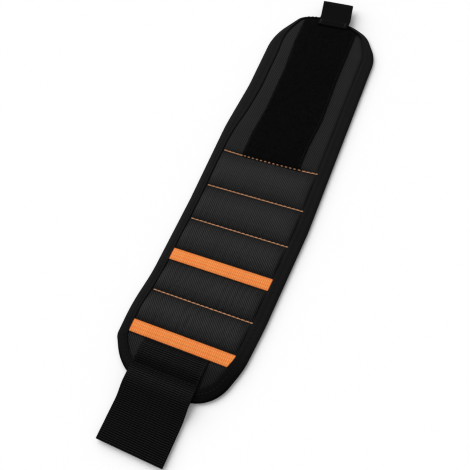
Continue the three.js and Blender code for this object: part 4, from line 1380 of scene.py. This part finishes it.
PILE_SEED = 41
PILE_RINGS = 6
PILE_SIDES = 3
PILE_RADIUS = 0.085 * MM
PILE_SINK = 0.12 * MM  # how deep the yarns are rooted in the backing


def loop_middle(y):
    """Middle of the loop patch at a height; it is sewn a little askew."""
    low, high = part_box("loop_patch")
    share = (y - low.y) / (high.y - low.y)
    lean = (high.x - low.x) - LOOP_WIDTH
    return high.x - LOOP_WIDTH / 2 - lean * share


def loop_x(offset, y):
    """Place across the band of a thread of the loop patch, whose two sides are not quite straight."""
    left, right = (np.interp(y, LOOP_WAVER_Y, sides) for sides in (LOOP_WAVER_LEFT, LOOP_WAVER_RIGHT))
    return loop_middle(y) + offset * (1 + np.where(offset < 0, left, right) / (LOOP_WIDTH / 2))


def loop_bed(x, y, outline, sizes):
    """Underside of the loop patch: it lies on the cover, which is drawn down into the first seam and under
    the binding. Also gives how far each place is inside the binding."""
    depth = outline.depth(x, y)
    held_up = LOOP_END_Z - MM * smooth((TOP_Y - 4 * MM - y) / (8 * MM))
    bed = np.maximum(cover_height(x, y, depth, sizes) + LOOP_CLEAR, held_up)
    return bed, depth - bound(x, y, sizes)


def loop_backing(sizes, colours, outline):
    """The patch's woven backing: even threads across it from the foot up to the tucked end, and a row of
    stitches along each side. Gives the piece and its flat length."""
    thick = sizes.loop_backing
    offset, lift = flat_section(LOOP_WIDTH / 2, thick, LOOP_COLUMNS)
    foot = SEW_Y[0] - LOOP_FOOT
    end = outline.top(LOOP_TUCK, loop_x(offset, TOP_Y))
    share = np.linspace(0, 1, math.ceil((TOP_Y - foot) / LOOP_STEP))
    y = foot + share[:, None] * (end - foot)
    x = loop_x(offset, y)
    bed = loop_bed(x, y, outline, sizes)[0]
    rings = both_faces(*(np.stack([x, y, bed + thick / 2 + side * lift], axis=-1) for side in (1, -1)))
    cloth = np.stack(np.broadcast_arrays(offset, y), axis=-1)
    form = Form()
    form.rings(rings, ring_normals(rings), both_faces(cloth, cloth))
    stitches = dashes(SEW_Y[0] + 2 * MM, end.min() - 6 * MM, sizes.binding_stitch)
    for side in (-1, 1):
        ends = []
        for place in stitches:
            across = loop_x(side * (LOOP_WIDTH / 2 - LOOP_SEAM), place)
            top = loop_bed(across, place, outline, sizes)[0] + thick + 0.1 * MM
            ends.append(np.stack([across, place, top], axis=-1))
        sew(form, *ends, UP, BLACK_RADIUS, 1)
    patch = form.piece("loop_patch_backing", backing_finish(colours), black_thread(colours))
    return patch, float(end.max() - foot)


def loop_pile(sizes, colours, outline):
    """The patch's pile: small yarns on a jittered grid, each a half-sine arch, turned, sized and leant by a
    seeded draw and pressed flat near the first seam and the binding."""
    step, draw = sizes.pile_spacing, np.random.default_rng(PILE_SEED)
    thick = sizes.loop_backing
    across, along = np.meshgrid(
        np.arange(-LOOP_WIDTH / 2 + 0.3 * step, LOOP_WIDTH / 2, step),
        np.arange(SEW_Y[0] + 1.0 * MM, TOP_Y, step),
    )
    across = across.ravel() + draw.uniform(-0.45, 0.45, across.size) * step
    along = along.ravel() + draw.uniform(-0.45, 0.45, along.size) * step
    across = loop_x(across, along)
    bed, inside = loop_bed(across, along, outline, sizes)
    shown = (inside > -0.6 * MM) & (along < outline.top(LOOP_TUCK, across))
    across, along, bed, inside = (values[shown] for values in (across, along, bed, inside))
    count = len(across)
    turn = draw.uniform(0, np.pi, count)
    wide = draw.uniform(0.45, 0.8, count) * MM
    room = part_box("loop_patch")[1].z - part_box("loop_patch")[0].z - thick
    press = (0.35 + 0.65 * rise(along - SEW_Y[0], LOOP_SLOPE)) * (0.6 + 0.4 * smooth(inside / LOOP_SLOPE))
    tall = room * draw.uniform(0.55, 1.0, count) * press
    lean = draw.uniform(-0.5, 0.5, (count, 2)) * tall[:, None]
    t = np.linspace(0, np.pi, PILE_RINGS)
    way = np.stack([np.cos(turn), np.sin(turn)], axis=-1)
    flat = np.stack([across, along], axis=-1)[:, None] - (wide[:, None] * np.cos(t))[..., None] * way[:, None]
    flat = flat + np.sin(t)[None, :, None] * lean[:, None]
    z = (bed + thick - PILE_SINK)[:, None] + tall[:, None] * np.sin(t) ** 0.8
    upright = np.column_stack([lean / tall[:, None], np.ones(count)])
    square = np.cross(np.column_stack([way, np.zeros(count)]), upright)
    form = Form()
    paths = np.concatenate([flat, z[..., None]], axis=-1)
    form.tubes(paths, square, np.full(PILE_RINGS, PILE_RADIUS), PILE_SIDES)
    return form.piece("loop_patch_pile", pile_finish(colours))


def make_loop_patch(sizes, colours):
    """Loop patch: a backing askew on the flap, caught under the first seam and the binding, and its pile."""
    outline = Outline(sizes)
    patch, tall = loop_backing(sizes, colours, outline)
    bend(patch, 0, "loop_patch")
    pile = loop_pile(sizes, colours, outline)
    bend(pile, 0)


# Strap with its hook patch.

STRAP_STEP = 0.2 * MM
STRAP_COLUMNS = 57
STRAP_GROOVE_Y = -141.5 * MM  # the row of stitches across the strap
STRAP_RIDGE_Y = -148 * MM  # where it passes over the binding
STRAP_DIP = 1.25 * MM  # how far those stitches press it and the padding down
STRAP_DIP_REACH = 3.4 * MM
PRESS_MARGIN = 1.5 * MM  # the padding is pressed down this far beside the strap
STRAP_DROP = 14 * MM  # from its fold line to where it lies flat
STRAP_NARROW = 0.5 * MM  # drawn in on each side
STRAP_ASIDE = 0.3 * MM  # to the left of its plan
STRAP_END_SLANT = 0.9 * MM  # its right corner reaches this much further
SLANT_START, SLANT_EASE = 10 * MM, 30 * MM  # where that starts past the fold line, and its length
STRAP_SEAM = 1.0 * MM  # from its sides to their stitches
TUCK_REACH = 6 * MM  # over which it goes down under the lower tape
TUCK_THIN = 0.45  # share of its thickness lost there
STRAP_WEAVE = {
    "plain": 2.0 * MM,
    "ease": 0.8 * MM,
    "grooves": (2.4 * MM, 5.0 * MM),
    "groove_half": 0.4 * MM,
    "rib": 0.085,
    "groove": 0.14,
}


def strap_painted_light(y):
    """Painted light and shade on the strap, as the share of its tone that is kept: most on its ridge as a
    painted highlight, less as painted shade in the valley above it and next to the tape.
    """
    ridge, valley = (hump(y - place, 4 * MM) for place in (STRAP_RIDGE_Y, STRAP_GROOVE_Y + 1.5 * MM))
    shading_values = 0.34 + 0.62 * ridge - 0.3 * valley + 0.42 * smooth((y - STRAP_GROOVE_Y - 5 * MM) / (5 * MM))
    shading_values -= 0.4 * smooth((y - END_TOP + 4.5 * MM) / (3 * MM))
    return np.clip(shading_values, 0, 1)


def make_strap(sizes, colours):
    """Strap: webbing that comes out from under the lower tape, is sewn down across the lower end, passes over
    the binding and lies flat. Its middle line eases between those heights; its faces have crosswise ribs
    between two plain sides with lengthwise grooves."""
    low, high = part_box("strap")
    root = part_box("strap_root")
    fold_y, fold_z = JOINT_PLACE["strap_fold"][1:]
    thick = root[1].z - root[0].z
    half, middle = (high.x - low.x) / 2 - STRAP_NARROW, (high.x + low.x) / 2 - STRAP_ASIDE
    y = even_steps([low.y, STRAP_GROOVE_Y, END_TOP - 0.15 * MM], STRAP_STEP)
    flat_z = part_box("hook_patch")[1].z + LAYER_GAP + thick / 2
    root_z = root[0].z + thick / 2
    drop_end = fold_y - STRAP_DROP
    z = flat_z + (root_z - flat_z) * smooth((y - drop_end) / (fold_y - drop_end))
    tuck = smooth((y - END_TOP + TUCK_REACH) / TUCK_REACH)
    z = z - tuck * (root_z - SEAM_TOP - 0.75 * MM) - strap_press(middle, y)
    path = np.stack([np.full_like(y, middle), y, z], axis=-1)
    along = unit(np.gradient(path, axis=0))
    normal = np.stack([np.zeros_like(y), -along[:, 2], along[:, 1]], axis=-1)
    offset, lift = flat_section(half, thick, STRAP_COLUMNS)
    reach = reach_along(path)
    weave = webbing_relief(reach, half - np.abs(offset), sizes.webbing_rib, **STRAP_WEAVE)
    cross = hump(y - STRAP_GROOVE_Y, 0.9 * MM)[:, None] * (0.25 + 0.1 * ripple(offset, sizes.binding_stitch))
    squeeze = TUCK_THIN * tuck[:, None] * lift
    relief, under = (weave - cross) * MM - squeeze, weave * MM - squeeze
    rings, cloth = ribbon(path, normal, (offset, lift), relief, under)
    past_fold = smooth((fold_y - SLANT_START - rings[..., 1]) / SLANT_EASE)
    rings[..., 1] -= STRAP_END_SLANT * ((rings[..., 0] - middle + half) / (2 * half) * past_fold)
    normals = ring_normals(rings)
    # Painted light and shade: a highlight on the strap's ridge, and shade in the valley above it and next to
    # the tape.
    painted_shading = np.repeat(strap_painted_light(y)[:, None], rings.shape[1], axis=1)
    finishes = webbing_finish(sizes, colours), black_thread(colours)
    cut = nearest(y, STRAP_GROOVE_Y)
    free, sewn = slice(0, cut + 1), slice(cut, len(y))

    form = Form()
    form.rings(rings[sewn], normals[sewn], cloth[sewn])
    stitches = dashes(STRAP_GROOVE_Y, END_TOP - 1.5 * MM, sizes.binding_stitch)
    for side in (-1, 1):
        ends = []
        for place in stitches:
            top = np.interp(place, y, z + thick / 2 * (1 - TUCK_THIN * tuck))
            across = np.full_like(place, middle + side * (half - STRAP_SEAM))
            ends.append(np.stack([across, place, top], axis=-1))
        sew(form, *ends, UP, BLACK_RADIUS, 1, lift=0.3)
    strap_root = form.piece("strap_root_webbing", *finishes, painted_shading=painted_shading[sewn])
    bend(strap_root, LAST_FOLD, "strap_root")

    form = Form()
    form.rings(rings[free], normals[free], cloth[free])
    stitches = dashes(middle - half + 1.2 * MM, middle + half - 1.2 * MM, sizes.binding_stitch)
    top = z[cut] + thick / 2 - 0.2 * MM
    sew_across(form, *stitches, STRAP_GROOVE_Y - 0.05 * MM, top, BLACK_RADIUS, 1)
    strap = form.piece("strap_webbing", *finishes, painted_shading=painted_shading[free])
    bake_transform(strap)
    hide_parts("strap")


HOOK_SEED = 23
HOOK_BASE = 0.45 * MM  # thickness of the patch's base
HOOK_BASE_STEP = 0.7 * MM
HOOK_BASE_COLUMNS = 41
HOOK_SEAM = 1 * MM  # from its sides to their stitches
HOOK_MARGIN = 2.2 * MM  # from its sides to the hooks
HOOK_RINGS = 6
HOOK_SIDES = 4
HOOK_RADIUS = 0.11 * MM
HOOK_BOW = 0.42 * MM  # how far a hook bends aside
HOOK_TIP = 0.75  # share of a hook's course at its lowest point


def hook_base(sizes, colours, low, high):
    """Woven base of the hook patch, with a row of stitches along each of its four sides."""
    half, middle = (high.x - low.x) / 2, (high.x + low.x) / 2
    y = even_steps([low.y, high.y], HOOK_BASE_STEP)
    path = np.stack([np.full_like(y, middle), y, np.full_like(y, high.z - HOOK_BASE / 2)], axis=-1)
    rings, cloth = ribbon(path, np.tile(UP, (len(y), 1)), flat_section(half, HOOK_BASE, HOOK_BASE_COLUMNS))
    form = Form()
    form.rings(rings, ring_normals(rings), cloth)
    for axis, other in ((0, 1), (1, 0)):
        stitches = dashes(low[axis] + HOOK_SEAM, high[axis] - HOOK_SEAM, sizes.binding_stitch)
        for place in (low[other] + HOOK_SEAM, high[other] - HOOK_SEAM):
            ends = []
            for value in stitches:
                point = np.full((len(value), 3), place)
                point[:, axis] = value
                point[:, 2] = high.z - HOOK_BASE
                ends.append(point)
            sew(form, *ends, -UP, BLACK_RADIUS, 1)
    return form.piece("hook_patch_backing", backing_finish(colours), black_thread(colours))


def hook_rows(sizes, colours, low, high):
    """Rows of hooks: each goes straight down, bows aside along a half sine and turns up again at its tip.
    Every other column bows the other way, and their heights differ by a seeded draw."""
    step, draw = sizes.hook_spacing, np.random.default_rng(HOOK_SEED)
    x, y = np.meshgrid(
        np.arange(low.x + HOOK_MARGIN, high.x - HOOK_MARGIN, step),
        np.arange(low.y + HOOK_MARGIN, high.y - HOOK_MARGIN, step),
    )
    x, y = x.ravel(), y.ravel()
    base_z = high.z - HOOK_BASE
    way = np.where((np.round((x - low.x) / step) % 2) > 0, 1.0, -1.0)
    tall = (base_z - low.z) * draw.uniform(0.86, 0.96, len(x))
    t = np.linspace(0, 1, HOOK_RINGS)
    bow = HOOK_BOW * np.sin(np.pi * np.clip(t * 1.25 - 0.1, 0, 1)) * (t > 0.35)
    drop = np.where(t < HOOK_TIP, t / HOOK_TIP, 1 - (t - HOOK_TIP) * 1.3)
    paths = np.stack([
        np.repeat(x[:, None], HOOK_RINGS, 1),
        y[:, None] + way[:, None] * (bow + 0.35 * MM * np.clip(t - 0.5, 0, 1)),
        base_z + 0.05 * MM - tall[:, None] * drop,
    ], axis=-1)
    form = Form()
    form.tubes(paths, np.tile(ACROSS, (len(x), 1)), np.full(HOOK_RINGS, HOOK_RADIUS), HOOK_SIDES)
    return form.piece("hook_patch_hooks", hook_finish(colours))


def make_hooks(sizes, colours):
    """Hook patch under the strap's end: a woven base and rows of small bent hooks below it."""
    low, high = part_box("hook_patch")
    base = hook_base(sizes, colours, low, high)
    hooks = hook_rows(sizes, colours, low, high)
    for made in (base, hooks):
        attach(made, "strap")
    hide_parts("hook_patch")


# Pull tab.

TAB_PLY = 0.7 * MM
TAB_STEP = 0.2 * MM
TAB_COLUMNS = 33
TAB_ROOT = 1.8 * MM  # how much further down its root is sewn than planned
TAB_PRESS = 0.5 * MM  # how far its stitches press the root down
TAB_STITCH = 2.2 * MM
TAB_THREAD = 0.18 * MM
TAB_SEAM = 1.2 * MM  # from its sides to the ends of its rows of stitches
TAB_ROWS = (1.2 * MM, 4.2 * MM)  # from the root's end to its two rows of stitches
TAB_TIP_ROW = 1.8 * MM  # from the tip's fold to the row there
BAR_FROM, BAR_TO, BAR_STEP = 0.8 * MM, 4.6 * MM, 0.42 * MM  # the dense bar at each side of the root
BAR_LENGTH = 2.2 * MM
BAR_FROM_SIDE = 3.2 * MM
TIP_POINTS = 12
TAB_WEAVE = {
    "plain": 1.6 * MM,
    "ease": 0.6 * MM,
    "grooves": (1.1 * MM, 2.4 * MM),
    "groove_half": 0.3 * MM,
    "rib": 0.04,
    "groove": 0.09,
}


def make_tab(sizes, colours):
    """Pull tab: webbing folded double, which leans left past the band's edge. Its middle line runs out along
    the lower ply, round a small fold at the tip and back along the upper ply; two rows of stitches and a
    dense bar at each side hold its root, and one row lies near the tip."""
    root_low, root_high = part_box("tab_root")
    tab_low, tab_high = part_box("pull_tab")
    half, middle = (root_high.x - root_low.x) / 2, (root_high.x + root_low.x) / 2
    fold_y, fold_z = JOINT_PLACE["tab_fold"][1:]
    lean = ((tab_high.x - tab_low.x) - 2 * half) / (tab_high.y - fold_y)
    spread = (root_high.z - root_low.z - TAB_PLY) / 2
    centre = BINDING_TOP + CLIMB + LAYER_GAP + spread + TAB_PLY / 2
    tip_gap = spread + 0.15 * MM
    tip = tab_high.y - TAB_PLY / 2 - tip_gap
    foot = root_low.y - TAB_ROOT
    run = even_steps([foot, fold_y, tip], TAB_STEP)
    out = smooth((run - fold_y) / (tip - fold_y))
    droop = (tab_low.z + tab_high.z) / 2 - centre
    sag = droop * out - TAB_PRESS * smooth((root_low.y + MM - run) / (2.5 * MM))
    gap = spread + (tip_gap - spread) * out
    turn = np.linspace(-np.pi / 2, np.pi / 2, TIP_POINTS)[1:-1]
    lower = np.stack([run, centre + sag - gap], axis=-1)
    fold = np.stack([tip + tip_gap * np.cos(turn), centre + droop + tip_gap * np.sin(turn)], axis=-1)
    upper = np.stack([run, centre + sag + gap], axis=-1)[::-1]
    flat = np.concatenate([lower, fold, upper])
    level = np.column_stack([np.full(len(flat), middle), flat])
    along = unit(np.gradient(level, axis=0))
    normal = np.stack([np.zeros(len(flat)), along[:, 2], -along[:, 1]], axis=-1)
    offset, lift = flat_section(half, TAB_PLY, TAB_COLUMNS)
    reach = reach_along(level)
    relief = webbing_relief(reach, half - np.abs(offset), TAB_RIB, **TAB_WEAVE) * MM
    path = np.column_stack([middle - lean * np.maximum(flat[:, 0] - fold_y, 0), flat])
    rings, cloth = ribbon(path, normal, (offset, lift), relief)
    form = Form()
    form.rings(rings, ring_normals(rings), cloth)
    start, end = dashes(middle - half + TAB_SEAM, middle + half - TAB_SEAM, TAB_STITCH)
    for place in (*(foot + row for row in TAB_ROWS), tip - TAB_TIP_ROW):
        top = np.interp(place, run, centre + sag + gap) + TAB_PLY / 2
        aside = lean * max(place - fold_y, 0)
        sew_across(form, start - aside, end - aside, place, top, TAB_THREAD, 1, lift=0.4)
    bar = foot + np.arange(BAR_FROM, BAR_TO, BAR_STEP)
    bar_top = np.interp(bar, run, centre + sag + gap) + TAB_PLY / 2
    for side in (-1, 1):
        starts = np.column_stack([np.full(len(bar), middle + side * (half - BAR_FROM_SIDE)), bar, bar_top])
        sew(form, starts, starts + side * BAR_LENGTH * ACROSS, UP, BLACK_RADIUS, 1, lift=0.8)
    made = form.piece("pull_tab_webbing", tab_finish(colours), black_thread(colours))
    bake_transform(made)
    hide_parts("tab_root", "pull_tab")


def plate_magnets(colours):
    """Gives every disc magnet its nickel plating."""
    nickel = finish("nickel_plate", nickel_finish, colours.nickel)
    for name, node in frame["nodes"].items():
        if "_magnet_" in name:
            node.data.materials.clear()
            node.data.materials.append(nickel)


# Stage.

EYE = Vector((161.9, -219.6, 434.8)) * MM
AIM = Vector((-1.9, -30.4, 0.0)) * MM
ROLL = math.radians(19.86)
LENS = 53.62
SENSOR = 36.0
AMBIENT = 0.48  # strength of the light from all round
LAMP_PLACE = (-0.90, 0.45, 0.95)
LAMP_SIZE = 1.7
LAMP_POWER = 21.8
FLOOR_HALF = 3.0
FLOOR_Z = -0.3 * MM


def make_camera():
    """A camera at the photograph's place, rolled about its line of sight."""
    data = bpy.data.cameras.new("photo_camera")
    data.sensor_width = SENSOR
    data.lens = LENS
    data.clip_start, data.clip_end = 0.01, 20
    camera = bpy.data.objects.new("photo_camera", data)
    bpy.context.scene.collection.objects.link(camera)
    ahead = (AIM - EYE).normalized()
    level = ahead.cross(Vector((0, 0, 1))).normalized()
    up = level.cross(ahead) * math.cos(ROLL) + level * math.sin(ROLL)
    right = ahead.cross(up)
    turn = Matrix((right, up, -ahead)).transposed().to_4x4()
    camera.matrix_world = Matrix.Translation(EYE) @ turn
    bpy.context.scene.camera = camera


def make_lamp():
    """A soft square lamp that faces the middle of the band."""
    data = bpy.data.lights.new("key_lamp", "AREA")
    data.size, data.energy = LAMP_SIZE, LAMP_POWER
    lamp = bpy.data.objects.new("key_lamp", data)
    lamp.location = LAMP_PLACE
    lamp.rotation_euler = (AIM - Vector(LAMP_PLACE)).to_track_quat("-Z", "Y").to_euler()
    bpy.context.scene.collection.objects.link(lamp)


def make_world():
    """White for what the camera and mirrors see, and a plain grey level for the light on the band."""
    world = bpy.data.worlds.new("studio")
    world.use_nodes = True
    bpy.context.scene.world = world
    n = Nodes(world.node_tree)
    path = n.add("ShaderNodeLightPath").outputs
    mirrored = n.math("MAXIMUM", path["Is Glossy Ray"], path["Is Transmission Ray"])
    seen = n.math("MAXIMUM", path["Is Camera Ray"], mirrored)
    strength = n.math("MULTIPLY_ADD", seen, 1.0 - AMBIENT, AMBIENT)
    ground = world.node_tree.nodes["Background"]
    ground.inputs["Color"].default_value = (1, 1, 1, 1)
    n.put(ground.inputs["Strength"], strength)


def make_floor():
    """A wide level floor just under the band that takes its shadow."""
    mesh = bpy.data.meshes.new("floor")
    corners = [(x * FLOOR_HALF, y * FLOOR_HALF, FLOOR_Z) for x, y in ((-1, -1), (1, -1), (1, 1), (-1, 1))]
    mesh.from_pydata(corners, [], [(0, 1, 2, 3)])
    pale = Finish("pale_floor", Roughness=0.9, Specular_IOR_Level=0.0)
    place = pale.add("ShaderNodeTexCoord").outputs["Object"]
    mottle = pale.add("ShaderNodeTexNoise", {"Vector": place, "Scale": 3.0}).outputs["Fac"]
    pale.set("Base Color", pale.tint((0.90, 0.90, 0.90), (0.93, 0.93, 0.93), mottle))
    mesh.materials.append(pale.material)
    floor = bpy.data.objects.new("floor", mesh)
    floor.is_shadow_catcher = True
    bpy.context.scene.collection.objects.link(floor)


# Operators, panel and start.


class BAND_OT_stage(bpy.types.Operator):
    """Sets up the camera, the lamp and the pale floor"""

    bl_idname = "band.stage"
    bl_label = "Stage"

    def execute(self, context):
        context.scene.view_settings.view_transform = "Standard"
        make_camera()
        make_world()
        make_lamp()
        make_floor()
        return {"FINISHED"}


class BAND_OT_cover(bpy.types.Operator):
    """Puffs up the front cover over its sewing lines and cuts it across the pockets"""

    bl_idname = "band.cover"
    bl_label = "Front cover"

    def execute(self, context):
        make_cover(context.scene.band_sizes, context.scene.band_colours)
        return {"FINISHED"}


class BAND_OT_lining(bpy.types.Operator):
    """Lays the mesh lining on the back"""

    bl_idname = "band.lining"
    bl_label = "Lining"

    def execute(self, context):
        make_lining(context.scene.band_sizes, context.scene.band_colours)
        return {"FINISHED"}


class BAND_OT_binding(bpy.types.Operator):
    """Folds the binding over the edge and sews it"""

    bl_idname = "band.binding"
    bl_label = "Edge binding"

    def execute(self, context):
        make_binding(context.scene.band_sizes, context.scene.band_colours)
        return {"FINISHED"}


class BAND_OT_seams(bpy.types.Operator):
    """Sews the four orange seams"""

    bl_idname = "band.seams"
    bl_label = "Orange seams"

    def execute(self, context):
        make_seams(context.scene.band_sizes, context.scene.band_colours)
        return {"FINISHED"}


class BAND_OT_tapes(bpy.types.Operator):
    """Weaves and sews the two orange tapes"""

    bl_idname = "band.tapes"
    bl_label = "Orange tapes"

    def execute(self, context):
        make_tapes(context.scene.band_sizes, context.scene.band_colours)
        return {"FINISHED"}


class BAND_OT_loop_patch(bpy.types.Operator):
    """Sews the loop patch on the flap and raises its pile"""

    bl_idname = "band.loop_patch"
    bl_label = "Loop patch"

    def execute(self, context):
        make_loop_patch(context.scene.band_sizes, context.scene.band_colours)
        return {"FINISHED"}


class BAND_OT_hooks(bpy.types.Operator):
    """Sews the hook patch under the strap"""

    bl_idname = "band.hooks"
    bl_label = "Hook patch"

    def execute(self, context):
        make_hooks(context.scene.band_sizes, context.scene.band_colours)
        return {"FINISHED"}


class BAND_OT_strap(bpy.types.Operator):
    """Weaves the strap and sews its root on the lower end"""

    bl_idname = "band.strap"
    bl_label = "Strap"

    def execute(self, context):
        make_strap(context.scene.band_sizes, context.scene.band_colours)
        return {"FINISHED"}


class BAND_OT_tab(bpy.types.Operator):
    """Folds the pull tab and sews it on the flap"""

    bl_idname = "band.tab"
    bl_label = "Pull tab"

    def execute(self, context):
        make_tab(context.scene.band_sizes, context.scene.band_colours)
        return {"FINISHED"}


class BAND_OT_magnets(bpy.types.Operator):
    """Plates the disc magnets inside the pockets"""

    bl_idname = "band.magnets"
    bl_label = "Magnets"

    def execute(self, context):
        plate_magnets(context.scene.band_colours)
        return {"FINISHED"}


OPERATORS = [
    BAND_OT_stage, BAND_OT_cover, BAND_OT_lining, BAND_OT_binding, BAND_OT_seams, BAND_OT_tapes,
    BAND_OT_loop_patch, BAND_OT_hooks, BAND_OT_strap, BAND_OT_tab, BAND_OT_magnets,
]


class BAND_PT_panel(bpy.types.Panel):
    """Lists the band's pieces, sizes and colours"""

    bl_idname = "BAND_PT_panel"
    bl_label = "Magnetic wristband"
    bl_space_type = "VIEW_3D"
    bl_region_type = "UI"
    bl_category = "Wristband"

    def draw(self, context):
        for operator in OPERATORS:
            self.layout.operator(operator.bl_idname)
        for group in (context.scene.band_sizes, context.scene.band_colours):
            for name in type(group).__annotations__:
                self.layout.prop(group, name)


CLASSES = [BandSizes, BandColours, *OPERATORS, BAND_PT_panel]


def register():
    """Adds the classes to Blender, and the sizes and colours to its scenes."""
    for cls in CLASSES:
        bpy.utils.register_class(cls)
    bpy.types.Scene.band_sizes = bpy.props.PointerProperty(type=BandSizes)
    bpy.types.Scene.band_colours = bpy.props.PointerProperty(type=BandColours)


def unregister():
    """Takes them out again."""
    del bpy.types.Scene.band_sizes, bpy.types.Scene.band_colours
    for cls in reversed(CLASSES):
        bpy.utils.unregister_class(cls)


def main():
    """Makes every piece in order."""
    register()
    for operator in OPERATORS:
        getattr(bpy.ops.band, operator.bl_idname.split(".")[1])()


if __name__ == "__main__":
    main()
